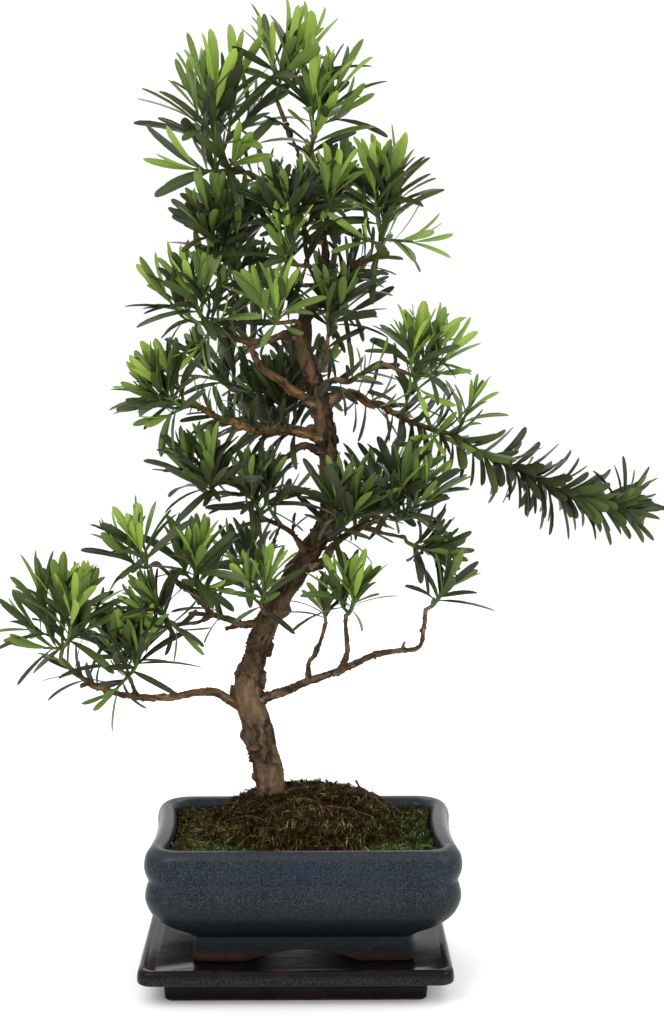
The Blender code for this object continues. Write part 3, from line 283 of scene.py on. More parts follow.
class PotSettings(PropertyGroup):
    waver: FloatProperty(
        name="Waver", description="How far the clay strays from its true shape", default=0.00035,
        min=0, unit="LENGTH")
    glaze: FloatVectorProperty(
        name="Glaze", description="Colour of the blue glaze", subtype="COLOR", default=(0.0036, 0.0062, 0.0082),
        min=0, max=1)
    speckle: FloatVectorProperty(
        name="Speckle", description="Colour of the pale specks in the glaze", subtype="COLOR",
        default=(0.031, 0.042, 0.047), min=0, max=1)
    clay: FloatVectorProperty(
        name="Clay", description="Colour of the bare clay at the foot", subtype="COLOR",
        default=(0.046, 0.020, 0.013), min=0, max=1)
    dark_glaze: FloatVectorProperty(
        name="Saucer glaze", description="Colour of the saucer's dark glaze", subtype="COLOR",
        default=(0.0042, 0.0038, 0.0042), min=0, max=1)


class WoodSettings(PropertyGroup):
    relief: FloatProperty(
        name="Bark relief", description="Depth of the cracks in the trunk's bark", default=0.0014,
        min=0, unit="LENGTH")
    bough_relief: FloatProperty(
        name="Bough relief", description="Depth of the cracks in the boughs' bark", default=0.0007,
        min=0, unit="LENGTH")
    bark: FloatVectorProperty(
        name="Bark", description="Colour of the weathered bark", subtype="COLOR",
        default=(0.056, 0.035, 0.021), min=0, max=1)
    worn_bark: FloatVectorProperty(
        name="Worn bark", description="Colour of the smooth patches", subtype="COLOR",
        default=(0.124, 0.076, 0.041), min=0, max=1)
    fresh_bark: FloatVectorProperty(
        name="Fresh bark", description="Colour of the warm skin of some boughs", subtype="COLOR",
        default=(0.168, 0.090, 0.036), min=0, max=1)
    olive_bark: FloatVectorProperty(
        name="Olive bark", description="Colour of the green skin of the youngest boughs", subtype="COLOR",
        default=(0.085, 0.078, 0.038), min=0, max=1)


class LeafSettings(PropertyGroup):
    longer: FloatProperty(
        name="Longer", description="Length of the leaves next to those of the solids", default=1.08, min=0.5)
    width: FloatProperty(
        name="Width", description="Greatest width of a leaf, as a share of its length", default=0.152, min=0.05)
    fuller: FloatProperty(
        name="Fuller", description="How many leaves stand for one leaf of the solids", default=1.55, min=1)
    deep: FloatVectorProperty(
        name="Old leaf", description="Colour of the oldest leaves", subtype="COLOR",
        default=(0.0175, 0.0225, 0.0065), min=0, max=1)
    mature: FloatVectorProperty(
        name="Mature leaf", description="Colour of full-grown leaves", subtype="COLOR",
        default=(0.034, 0.050, 0.010), min=0, max=1)
    fresh: FloatVectorProperty(
        name="Fresh leaf", description="Colour of this year's leaves", subtype="COLOR",
        default=(0.084, 0.134, 0.023), min=0, max=1)
    young: FloatVectorProperty(
        name="Young leaf", description="Colour of the leaves at the shoots' tips", subtype="COLOR",
        default=(0.175, 0.268, 0.040), min=0, max=1)


class SoilSettings(PropertyGroup):
    moss: IntProperty(
        name="Moss blades", description="How many blades of moss are laid", default=5200, min=0)
    fibre: IntProperty(
        name="Fibres", description="How many dead fibres are laid", default=3200, min=0)


class StageSettings(PropertyGroup):
    floor: FloatVectorProperty(
        name="Floor", description="Colour of the floor", subtype="COLOR", default=(0.95, 0.95, 0.95),
        min=0, max=1)
    light: FloatProperty(
        name="Light", description="Strength of the light from all round", default=1.06, min=0)


# Finishes

class Signal:
    """One value in a material. Python's own operators add the Math nodes."""

    def __init__(self, finish, socket):
        self.finish = finish
        self.socket = socket

    def math(self, operation, *values):
        return self.finish.node("ShaderNodeMath", {"operation": operation}, *values)

    def __add__(self, other):
        return self.math("ADD", self, other)

    def __sub__(self, other):
        return self.math("SUBTRACT", self, other)

    def __rsub__(self, other):
        return self.math("SUBTRACT", other, self)

    def __mul__(self, other):
        return self.math("MULTIPLY", self, other)

    def __truediv__(self, other):
        return self.math("DIVIDE", self, other)

    def __pow__(self, other):
        return self.math("POWER", self, other)

    def largest(self, other):
        return self.math("MAXIMUM", self, other)

    def between(self, low, high, soft=True):
        """0 below low, 1 above high; the other way round where low is the greater."""
        settings = {"interpolation_type": "SMOOTHSTEP" if soft else "LINEAR"}
        return self.finish.node("ShaderNodeMapRange", settings, self, low, high, 0, 1)

    __radd__ = __add__
    __rmul__ = __mul__


class Finish:
    """A material with one shader, whose signals are made by node() and the methods round it."""

    def __init__(self, name, **constants):
        self.material = bpy.data.materials.new(name)
        self.material.use_nodes = True
        self.tree = self.material.node_tree
        self.shader = self.tree.nodes["Principled BSDF"]
        for socket, value in constants.items():
            self.shader.inputs[socket.replace("_", " ")].default_value = value
        self.place = self.node("ShaderNodeTexCoord", {}, output="Object")

    def node(self, kind, settings, *values, output=0, **named):
        """Adds one node. Settings come first; values fill its sockets in order or by name."""
        made = self.tree.nodes.new(kind)
        for key, value in settings.items():
            setattr(made, key, value)
        for socket, value in [*enumerate(values), *named.items()]:
            self.feed(made.inputs[socket], value)
        return Signal(self, made.outputs[output])

    def feed(self, socket, value):
        if isinstance(value, Signal):
            self.tree.links.new(value.socket, socket)
        elif value is not None:
            socket.default_value = value

    def stretched(self, source, x, y, z):
        return self.node("ShaderNodeVectorMath", {"operation": "MULTIPLY"}, source, (x, y, z))

    def split(self, source, axis):
        return self.node("ShaderNodeSeparateXYZ", {}, source, output=axis)

    def attribute(self, name, output):
        return self.node("ShaderNodeAttribute", {"attribute_name": name}, output=output)

    def noise(self, scale, detail=3.0, roughness=0.55, source=None):
        return self.node("ShaderNodeTexNoise", {}, Vector=source or self.place, Scale=scale, Detail=detail,
                         Roughness=roughness, output="Fac")

    def cells(self, scale, source=None, feature="F1", output="Distance"):
        return self.node("ShaderNodeTexVoronoi", {"feature": feature}, Vector=source or self.place,
                         Scale=scale, output=output)

    def mix(self, share, first, second):
        """A colour between two, by a share that may vary."""
        made = self.tree.nodes.new("ShaderNodeMix")
        made.data_type = "RGBA"
        for socket, value in ((0, share), (6, first), (7, second)):
            if isinstance(value, (tuple, list)) and len(value) == 3:
                value = (*value, 1)
            self.feed(made.inputs[socket], value)
        return Signal(self, made.outputs[2])

    def surface(self, colour=None, roughness=None, coat=None):
        for socket, value in (("Base Color", colour), ("Roughness", roughness), ("Coat Weight", coat)):
            if isinstance(value, (tuple, list)) and len(value) == 3:
                value = (*value, 1)
            self.feed(self.shader.inputs[socket], value)

    def bump(self, height, distance, strength=1.0):
        self.feed(self.shader.inputs["Normal"],
                  self.node("ShaderNodeBump", {}, strength, distance, Height=height, output="Normal"))

    def dress(self, *pieces):
        for piece in pieces:
            piece.data.materials.clear()
            piece.data.materials.append(self.material)


def shade(colour, share):
    """A colour made lighter or darker, by one share or by one for each channel."""
    return tuple(min(1, channel * part) for channel, part in zip(colour, np.broadcast_to(share, 3)))


# Making pieces

def mm(*values):
    """Millimetres as a vector in metres."""
    return Vector(values) * MM


def deselect():
    if bpy.context.object and bpy.context.object.mode != "OBJECT":
        bpy.ops.object.mode_set(mode="OBJECT")
    bpy.ops.object.select_all(action="DESELECT")


def settle(piece, name, sharp=40):
    """Names a finished piece and shades it smooth up to its sharp edges."""
    piece.name = name
    piece.data.name = name
    deselect()
    bpy.context.view_layer.objects.active = piece
    piece.select_set(True)
    bpy.ops.object.transform_apply(location=True, rotation=True, scale=True)
    bpy.ops.object.shade_smooth_by_angle(angle=math.radians(sharp))
    deselect()
    return piece


def from_arrays(name, places, faces, sharp=40):
    """A piece from an array of places in millimetres and a list of faces."""
    mesh = bpy.data.meshes.new(name)
    mesh.from_pydata((np.asarray(places) * MM).tolist(), [], faces)
    mesh.update()
    piece = bpy.data.objects.new(name, mesh)
    bpy.context.scene.collection.objects.link(piece)
    return settle(piece, name, sharp)


def keep_marks(piece, name, rows):
    """Keeps three numbers with each corner of a piece, for its finish to read."""
    layer = piece.data.attributes.new(name, "FLOAT_VECTOR", "POINT")
    layer.data.foreach_set("vector", np.array(rows).ravel())


def hand_over(piece, slot, *nodes):
    """Puts a finished piece on the part's one body, in place of the solids that it stands for."""
    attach(piece, "root")
    if nodes:
        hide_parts(*nodes)


def cut_with(piece, tool):
    """Cuts a tool out of a piece for good, and removes the tool."""
    deselect()
    bpy.context.view_layer.objects.active = piece
    cut = piece.modifiers.new("cut", "BOOLEAN")
    cut.operation = "DIFFERENCE"
    cut.solver = "EXACT"
    cut.object = tool
    bpy.ops.object.modifier_apply(modifier=cut.name)
    bpy.data.objects.remove(tool, do_unlink=True)


# Pot and saucer

CORNER_STEPS = 9
SIDE_STEPS = 14


def rounded_outline(half_x, half_y, corner, pinch):
    """Places round a rectangle with round corners and, where pinch says so, hollow short sides."""
    places = []
    for quarter, (sx, sy) in enumerate(((1, 1), (-1, 1), (-1, -1), (1, -1))):
        cx, cy = sx * (half_x - corner), sy * (half_y - corner)
        for step in range(CORNER_STEPS + 1):
            angle = math.radians(90 * quarter + 90 * step / CORNER_STEPS)
            places.append((cx + corner * math.cos(angle), cy + corner * math.sin(angle)))
        for step in range(1, SIDE_STEPS):
            across = 1 - 2 * step / SIDE_STEPS
            if quarter % 2:
                reach = half_y - corner
                places.append((sx * (half_x - pinch * (1 - across ** 2)), sy * reach * across))
            else:
                places.append((sx * (half_x - corner) * across, sy * half_y))
    return places


def row_outline(inset, length, depth, corner, pinch):
    return rounded_outline(length / 2 - inset, depth / 2 - inset, max(corner - 0.45 * inset, 4), pinch)


def finer_profile(profile, straight, steps=3):
    """Rows between the given ones on a smooth curve, left straight where the clay has an edge."""
    rows = []
    for i, row in enumerate(profile[:-1]):
        after = profile[i + 1]
        if i in straight:
            rows += [row, tuple((a + b) / 2 for a, b in zip(row, after))]
            continue
        before = profile[i - 1] if i and i - 1 not in straight else row
        beyond = profile[i + 2] if i + 2 < len(profile) and i + 1 not in straight else after
        for step in range(steps):
            t = step / steps
            rows.append(tuple(
                0.5 * (2 * b + (c - a) * t + (2 * a - 5 * b + 4 * c - d) * t ** 2
                       + (3 * b - a - 3 * c + d) * t ** 3)
                for a, b, c, d in zip(before, row, after, beyond)))
    return [*rows, profile[-1]]


def place_ring(corners, outline, height, shift):
    """Moves a ring of vertices onto an outline, matching them by their direction from its middle."""
    reach_x = max(x for x, _ in outline)
    reach_y = max(y for _, y in outline)

    def turn(x, y):
        return math.atan2(y / reach_y, x / reach_x)

    corners = sorted(corners, key=lambda v: math.atan2(v.co.y, v.co.x - shift * MM))
    for vertex, (x, y) in zip(corners, sorted(outline, key=lambda place: turn(*place))):
        vertex.co = mm(x + shift, y, height)


def vessel(name, profile, length, depth, corner, pinch, shift):
    """A vessel drawn up from its underside: a filled ring is extruded once for each profile row."""
    first = row_outline(profile[0][0], length, depth, corner, pinch)
    deselect()
    bpy.ops.mesh.primitive_circle_add(vertices=len(first), radius=0.05, fill_type="NGON",
                                      location=mm(shift, 0, profile[0][1]))
    bpy.ops.object.transform_apply(location=True)
    piece = bpy.context.object
    bpy.ops.object.mode_set(mode="EDIT")
    bpy.ops.mesh.select_mode(type="FACE")
    for number, (inset, height) in enumerate(profile):
        if number:
            bpy.ops.mesh.extrude_region_move()
        bm = bmesh.from_edit_mesh(piece.data)
        ring = [vertex for vertex in bm.verts if vertex.select]
        before = sorted(ring, key=lambda v: math.atan2(v.co.y, v.co.x - shift * MM))
        outline = row_outline(inset, length, depth, corner, pinch)
        order = sorted(range(len(first)), key=lambda i: math.atan2(first[i][1], first[i][0]))
        for vertex, i in zip(before, order):
            x, y = outline[i]
            vertex.co = mm(x + shift, y, height)
        bmesh.update_edit_mesh(piece.data)
    bpy.ops.mesh.select_all(action="SELECT")
    bpy.ops.mesh.normals_make_consistent(inside=False)
    bpy.ops.object.mode_set(mode="OBJECT")
    piece.name = name
    return piece


# Limbs: the source's rules, written again

def smooth_route(places, step):
    """Points a step apart on a Catmull-Rom curve through the places, in millimetres."""
    places = [Vector(place) for place in places]
    if len(places) == 2:
        places.insert(1, (places[0] + places[1]) / 2)
    ends = [2 * places[0] - places[1], *places, 2 * places[-1] - places[-2]]
    route = [places[0]]
    for a, b, c, d in zip(ends, ends[1:], ends[2:], ends[3:]):
        pieces = max(1, round((c - b).length / step))
        for piece in range(1, pieces + 1):
            t = piece / pieces
            route.append(0.5 * (2 * b + (c - a) * t + (2 * a - 5 * b + 4 * c - d) * t ** 2
                                + (3 * b - a - 3 * c + d) * t ** 3))
    return route


def lengths_along(route):
    lengths = [0]
    for a, b in zip(route, route[1:]):
        lengths.append(lengths[-1] + (b - a).length)
    return lengths


def tapered(route, start, end):
    lengths = lengths_along(route)
    return [start + (end - start) * along / lengths[-1] for along in lengths]


def trunk_radius(height):
    heights, radii = zip(*TRUNK_RADII)
    flare = FLARE * math.exp(-max(0, height - CUT_LEVEL) / FLARE_HEIGHT)
    return float(np.interp(height, heights, radii)) + flare


class Limb:
    """A limb's middle line and half thickness, in millimetres."""

    def __init__(self, route, radii):
        self.route = route
        self.radii = radii

    def tip(self):
        return self.route[-1], (self.route[-1] - self.route[-2]).normalized()

    def at_height(self, height):
        for a, b, radius in zip(self.route, self.route[1:], self.radii):
            if a.z <= height <= b.z:
                return a.lerp(b, (height - a.z) / (b.z - a.z)), (b - a).normalized(), radius
        return self.route[-1], self.tip()[1], self.radii[-1]


def all_limbs():
    route = smooth_route(TRUNK_ROUTE, TRUNK_STEP)
    limbs = {"trunk": Limb(route, [trunk_radius(place.z) for place in route])}
    for name, (parent, start, end, places) in BOUGHS.items():
        route = smooth_route(places, LIMB_STEP)
        limbs[name] = Limb(route, tapered(route, start, end))
    return limbs


def around(axis, angle):
    """A unit vector at right angles to the axis, turned about it by the angle."""
    side = axis.cross(Vector((0, 0, 1)))
    if side.length < 0.1:
        side = axis.cross(Vector((0, 1, 0)))
    side.normalize()
    return Matrix.Rotation(angle, 3, axis) @ side


def grow_stem(mass, limbs):
    """The middle line of a mass's stem, from its limb to where its shoots fan out."""
    limb_name, height, middle = mass[:3]
    middle = Vector(middle)
    limb = limbs[limb_name]
    if height is None or height >= limb.route[-1].z:
        place, along = limb.tip()
        start = place + along * GAP
        run, most = TIP_RUN
        first = start + along * min(run, most * (middle - start).length)
    else:
        place, along, radius = limb.at_height(height)
        out = middle - place
        out = (out - along * out.dot(along)).normalized()
        start = place + out * (radius + GAP)
        run, most = SIDE_RUN
        first = start + out * min(run, most * (middle - start).length)
    return [start, *smooth_route((first, middle), STEM_STEP)]


def fan_out(mass, rng):
    """The middle lines of the shoots that fan out from the end of a mass's stem."""
    middle, lean, count, spread, turn, reach = mass[2:8]
    middle, axis = Vector(middle), Vector(lean).normalized()
    shoots = []
    for k in range(count):
        tilt = spread if count > 1 else 0
        if k == 3:
            tilt = spread * INNER_SPREAD
        ring = min(count, 3)
        angle = math.radians(turn + 360 * k / ring + rng.uniform(-SHOOT_JITTER, SHOOT_JITTER))
        tilt = math.radians(tilt + rng.uniform(-SHOOT_JITTER, SHOOT_JITTER))
        way = axis * math.cos(tilt) + around(axis, angle) * math.sin(tilt)
        length = reach * rng.uniform(*SHOOT_LENGTHS)
        bend = middle + way * length * BEND_SHARE
        rise = (axis + Vector((0, 0, UPWARD))).normalized()
        end = bend + (way * (1 - TURN_UP) + rise * TURN_UP).normalized() * length * TIP_SHARE
        shoots.append([middle, bend, end])
    return shoots


def side_shoots(stem, plan):
    """The middle lines of the shoots that leave a stem on its way, each a place and a way."""
    shoots = []
    for share, way in plan:
        place = stem[round(share * (len(stem) - 1))]
        shoots.append([place, place + Vector(way) / 2, place + Vector(way)])
    return shoots


def plan_masses(limbs, rng):
    """Every mass's stem and its shoots, as middle lines."""
    growth = {}
    for name, mass in MASSES.items():
        stem = grow_stem(mass, limbs)
        growth[name] = (stem, [*fan_out(mass, rng), *side_shoots(stem, LOW_SHOOTS.get(name, ()))])
    start, along = limbs["bough_long_right"].tip()
    stem = smooth_route((start + along * GAP, *LONG_STEM), LIMB_STEP)
    growth[LONG_MASS] = (stem, side_shoots(stem, LONG_SHOOTS))
    return growth


# Wood

def resample(route, radii, step):
    """The limb again with a ring every step, as arrays."""
    fine = smooth_route(route, step)
    lengths = np.array(lengths_along(route))
    along = np.array(lengths_along(fine))
    radii = np.interp(along / along[-1], lengths / lengths[-1], radii)
    return np.array(fine), radii, along


def ring_frames(route):
    """Two directions across a route at each of its points, that turn as little as they can."""
    runs = np.gradient(route, axis=0)
    runs /= np.linalg.norm(runs, axis=1)[:, None]
    across = np.cross(runs[0], (0.0, 1.0, 0.2))
    across /= np.linalg.norm(across)
    firsts = []
    for run in runs:
        across = across - run * across.dot(run)
        across /= np.linalg.norm(across)
        firsts.append(across)
    firsts = np.array(firsts)
    return firsts, np.cross(runs, firsts)


def tube_places(route, radii, sides):
    """Rings of places round a route: an array of rings, by sides, by 3."""
    first, second = ring_frames(route)
    turn = 2 * np.pi * np.arange(sides) / sides
    ring = first[:, None] * np.cos(turn)[:, None] + second[:, None] * np.sin(turn)[:, None]
    return route[:, None] + ring * np.asarray(radii)[:, None, None]


def tube_faces(rings, sides, start=0):
    faces = []
    for ring in range(rings - 1):
        for side in range(sides):
            a = start + ring * sides + side
            b = start + ring * sides + (side + 1) % sides
            faces.append((a, b, b + sides, a + sides))
    faces.append(tuple(start + side for side in reversed(range(sides))))
    faces.append(tuple(start + (rings - 1) * sides + side for side in range(sides)))
    return faces


def bark_at(place, seed, coarse):
    """The bark at a straightened place: how cracked it is, which flake it is, how worn, its lift."""
    drift = noise.noise_vector(place * (0.9 / coarse) + Vector((seed, 0, 0))) * 0.55
    drift += noise.noise_vector(place * (0.25 / coarse) + Vector((seed, 4, 0))) * 1.2
    spot = Vector((place.x, place.y, place.z * 0.32)) / coarse + drift + Vector((0, seed, 0))
    distances, spots = noise.voronoi(spot)
    open_share = min(1, max(0, 0.55 + 1.5 * noise.noise(place * (0.32 / coarse) + Vector((0, seed, 8)))))
    crack = open_share * (1 - min(1, (distances[1] - distances[0]) / CRACK_WIDTH))
    flake = noise.cell(spots[0] * 7.31)
    down = Vector((place.x, place.y, place.z * 0.6)) / coarse
    broad = noise.noise(down * 0.2 + Vector((seed, 9, 0))) + 0.5 * noise.noise(down * 0.5 + Vector((seed, 5, 0)))
    worn = min(1, max(0, 0.3 + 2.6 * broad))
    lift = max(0, flake - 0.6) / 0.4 * max(0, 0.6 + 1.6 * (spots[0].z - spot.z))
    return crack, flake, worn, lift


class Bark:
    """Limbs with bark relief, gathered into one piece whose grain is kept as attributes."""

    def __init__(self, name):
        self.name = name
        self.places = []
        self.faces = []
        self.grain = []
        self.marks = []
        self.warmth = []

    def add(self, route, radii, sides, step, coarse, depth, seed, warmth=0.0, collar=0.0, buried=None,
            knobbly=0.0):
        route, radii, along = resample(route, radii, step)
        if collar:
            radii = radii * (1 + collar * np.exp(-np.maximum(0, along - buried) / 4.5))
        grid = tube_places(route, radii, sides)
        start = len(self.places)
        for ring, (middle, radius, run) in enumerate(zip(route, radii, along)):
            for side in range(sides):
                turn = 2 * math.pi * side / sides
                straight = Vector((radius * math.cos(turn), radius * math.sin(turn), run))
                lump = noise.noise(straight * 0.09 + Vector((seed, 3, 0)))
                lump += knobbly * max(0, noise.noise(straight * 0.3 + Vector((seed, 6, 0))))
                crack, flake, worn, lift = bark_at(straight, seed, coarse)
                rough = 1 - 0.75 * worn
                fine = noise.noise(straight * 0.9 + Vector((0, 0, seed)))
                rise = rough * (0.7 * (flake - 0.5) - 0.9 * crack ** 2 + 1.3 * lift + 0.5 * fine) + 0.2 * fine
                out = (grid[ring, side] - middle) / radius
                self.places.append(grid[ring, side] + out * (depth * rise + 0.06 * radius * lump))
                self.grain.append(straight * MM)
                self.marks.append((crack * (1 - 0.6 * worn), flake, worn))
                self.warmth.append(warmth * min(1, 0.35 + run / WARM_FROM))
        self.faces += tube_faces(len(route), sides, start)

    def finish(self):
        piece = from_arrays(self.name, self.places, self.faces, 70)
        keep_marks(piece, "grain", self.grain)
        keep_marks(piece, "bark", self.marks)
        layer = piece.data.attributes.new("warmth", "FLOAT", "POINT")
        layer.data.foreach_set("value", self.warmth)
        return piece


def bark_finish(name, settings, greyness, patchy, stained):
    """Bark: dark flakes, painted shade in the cracks, worn tan patches, and orange or olive skin by the limb's
    warmth.
    """
    finish = Finish(name, Specular_IOR_Level=0.1)
    grain = finish.attribute("grain", "Vector")
    crack, flake, worn = (finish.split(finish.attribute("bark", "Vector"), axis) for axis in "XYZ")
    warmth = finish.attribute("warmth", "Fac")
    fibres = finish.noise(900, 4, 0.6, finish.stretched(grain, 1, 1, 0.16))
    patches = finish.noise(60, 3, 0.6, finish.stretched(grain, 1, 1, 0.5))
    mottle = finish.noise(260, 3, 0.6, grain)
    base = finish.mix(flake, shade(settings.bark, 0.6), shade(settings.bark, 1.6))
    base = finish.mix((flake * 5.3).math("FRACT", flake * 5.3).between(0.62, 0.9) * 0.55, base,
                      shade(settings.worn_bark, (1.05, 0.78, 0.62)))
    base = finish.mix((worn + patches - 0.5).between(0.4, 0.8) * 0.85, base, tuple(settings.worn_bark))
    base = finish.mix(mottle.between(0.55, 0.72) * greyness, base, (0.15, 0.125, 0.095))
    skin = warmth * (patches * 1.8 + mottle * 1.4 - 0.65)
    spots = finish.noise(150, 3, 0.6, finish.stretched(grain, 1, 1, 0.35))
    base = finish.mix(skin.between(0.1, 0.9), base, tuple(settings.fresh_bark))
    base = finish.mix(skin.between(0.3, 0.9) * spots.between(0.48, 0.57) * 0.9, base, (0.38, 0.195, 0.06))
    base = finish.mix(skin.between(0.3, 0.8) * spots.between(0.45, 0.37) * 0.75, base, (0.046, 0.040, 0.019))
    base = finish.mix(skin.between(-0.1, -0.9) * 0.8, base, tuple(settings.olive_bark))
    base = finish.mix((patches + mottle * 0.5).between(0.84, 0.96) * 0.6, base, (0.12, 0.045, 0.022))
    base = finish.mix((mottle - patches).between(0.08, 0.2) * 0.5, base, shade(settings.olive_bark, 0.7))
    grit = finish.noise(900, 4, 0.7, grain)
    base = finish.mix(fibres.between(0.42, 0.7) * 0.45, base, shade(settings.bark, 0.45))
    base = finish.mix(grit.between(0.5, 0.66) * 0.5, base, shade(settings.bark, 0.4))
    base = finish.mix(grit.between(0.44, 0.34) * 0.3, base, (0.17, 0.135, 0.1))
    base = finish.mix(spots.between(0.53, 0.62) * patchy, base, (0.32, 0.225, 0.14))
    base = finish.mix(spots.between(0.44, 0.34) * (patchy + 0.1), base, shade(settings.bark, 0.35))
    stains = finish.noise(42, 4, 0.65, finish.stretched(grain, 1, 1, 0.45))
    base = finish.mix(stains.between(0.51, 0.6) * stained, base, shade(settings.bark, 0.5))
    # Painted shade: the cracks are darkened in the colour, where shade falls in the bark's recesses
    base = finish.mix((crack ** 1.5) * 0.85, base, shade(settings.bark, 0.2))
    finish.surface(base, 0.95 - 0.2 * mottle)
    finish.bump(fibres * 0.6 + mottle * 0.4 - crack, 0.0005, 0.7)
    return finish


# Leaves

# Along a leaf, and its width there as a share of the greatest
LEAF_STATIONS = np.array((0, 0.08, 0.22, 0.42, 0.63, 0.82, 0.94, 1))
STRAP_WIDTHS = np.array((0.24, 0.36, 0.72, 0.95, 1.0, 0.93, 0.68, 0.28))
SPEAR_WIDTHS = np.array((0.18, 0.26, 0.54, 0.85, 1.0, 0.92, 0.62, 0.2))
LEAF_THICK = 0.8              # mm at the midrib
TINTS = ("deep", "mature", "fresh", "young")
# How young each mass looks, from 0 to 1
YOUTH = {
    "leaves_upper_right": 0.8, "leaves_right_top": 0.7, "leaves_top": 0.8, "leaves_top_right": 0.7,
    "leaves_leader_front": 0.75, "leaves_leader_middle": 0.75, "leaves_fork_front": 0.72,
    "leaves_low_right_middle": 0.7, "leaves_top_left": 0.55, "leaves_low_left_tip": 0.55,
    "leaves_low_left_middle": 0.4, "leaves_left": 0.6, "leaves_left_outer": 0.6,
    "leaves_lower_left": 0.6, "leaves_lower_left_outer": 0.55, "leaves_lower_left_front": 0.4,
    "leaves_middle_right": 0.45, "leaves_middle_right_inner": 0.35, "leaves_trunk_low_left": 0.65,
    "leaves_long_right": 0.04, "leaves_hanging": 0.25, "leaves_centre_left": 0.2,
    "leaves_leader_left": 0.15, "leaves_leader_low": 0.2, "leaves_inner_left": 0.25,
    "leaves_trunk_upper_right": 0.3,
}
USUAL_YOUTH = 0.42
# How full some masses are in leaf, next to the rest: the photo shows sky through the open ones
FULLNESS = {
    "leaves_top_left": 0.7, "leaves_top": 0.6, "leaves_top_right": 0.7, "leaves_leader_left": 0.6,
    "leaves_leader_low": 0.75, "leaves_left_outer": 0.85, "leaves_upper_right": 0.8,
    "leaves_back_right": 0.7, "leaves_back_middle": 0.7, "leaves_left": 0.85,
    "leaves_lower_left": 1.2, "leaves_lower_left_front": 1.35, "leaves_low_left_middle": 1.15,
    "leaves_middle_left": 1.1,
}
FLUSH_FROM = 0.5              # the leaves past this share of a shoot are this year's
FLUSH = 0.24                  # how much younger they look than the mass, and the rest older


class Foliage:
    """Leaves as rows of numbers by tint, and twigs by kind, till they are made into pieces."""

    def __init__(self, settings):
        self.settings = settings
        self.leaves = {tint: [] for tint in TINTS}
        self.twigs = {"twigs_brown": [], "twigs_green": []}

    def add_twig(self, kind, route, start, end):
        fine, radii, _ = resample(route, tapered(route, start, end), 2.2)
        self.twigs[kind].append((fine, radii))

    def add_leaf(self, tint, *row):
        self.leaves[tint].append(np.concatenate([np.atleast_1d(np.array(part, float)) for part in row]))


def leaf_piece(name, rows, widths):
    """Every leaf of one tint as one closed mesh each, joined: a strap folded along its midrib."""
    rows = np.array(rows)
    root, way, face = rows[:, None, 0:3], rows[:, None, 3:6], rows[:, None, 6:9]
    length, width, recurve, fold, bow, twist, chance = (rows[:, None, 9 + i, None] for i in range(7))
    share = LEAF_STATIONS[None, :, None]
    half = width * widths[None, :, None] / 2
    across = np.cross(face, way)
    middle = root + way * length * share - face * recurve * length * share ** 2
    middle = middle + across * bow * length * share ** 2
    up = face + way * 2 * recurve * share
    up = up / np.linalg.norm(up, axis=2)[:, :, None]
    turn = twist * share
    up, across = up * np.cos(turn) + across * np.sin(turn), across * np.cos(turn) - up * np.sin(turn)
    thick = LEAF_THICK / 2 * np.minimum(1, 0.35 + half / half.max())
    edge_lift = up * half * fold
    corners = np.stack((middle + across * half + edge_lift, middle + up * thick,
                        middle - across * half + edge_lift, middle - up * thick), axis=2)
    stations = len(LEAF_STATIONS)
    one = []
    for ring in range(stations - 1):
        for side in range(4):
            a, b = ring * 4 + side, ring * 4 + (side + 1) % 4
            one.append((a, b, b + 4, a + 4))
    last = 4 * (stations - 1)
    one += [(3, 2, 1, 0), (last, last + 1, last + 2, last + 3)]
    faces = np.array(one)[None] + (np.arange(len(rows)) * 4 * stations)[:, None, None]
    piece = from_arrays(name, corners.reshape(-1, 3), faces.reshape(-1, 4).tolist(), 50)
    marks = np.zeros((*corners.shape[:3], 3))
    marks[..., 0] = (0, 1, 0, -1)
    marks[..., 1] = LEAF_STATIONS[None, :, None]
    marks[..., 2] = chance
    keep_marks(piece, "leaf", marks)
    return piece


def twig_piece(name, twigs, sides=7):
    places, faces = [], []
    for route, radii in twigs:
        swell = 1 + 0.1 * np.sin(np.arange(len(radii)) * 2.4)
        faces += tube_faces(len(route), sides, len(places))
        places += list(tube_places(route, radii * swell, sides).reshape(-1, 3))
    return from_arrays(name, places, faces, 60)


def limb_table(limbs):
    rows = [(a, b, max(ra, rb)) for limb in limbs.values()
            for a, b, ra, rb in zip(limb.route, limb.route[1:], limb.radii, limb.radii[1:])]
    return tuple(np.array(column) for column in zip(*rows))


def clearance(places, table):
    """The least distance from the places to the surface of any limb."""
    start, end, radius = table
    points = np.array(places)[:, None, :]
    run = end - start
    share = np.clip(((points - start) * run).sum(-1) / (run * run).sum(-1), 0, 1)
    return (np.linalg.norm(points - (start + share[..., None] * run), axis=-1) - radius).min()


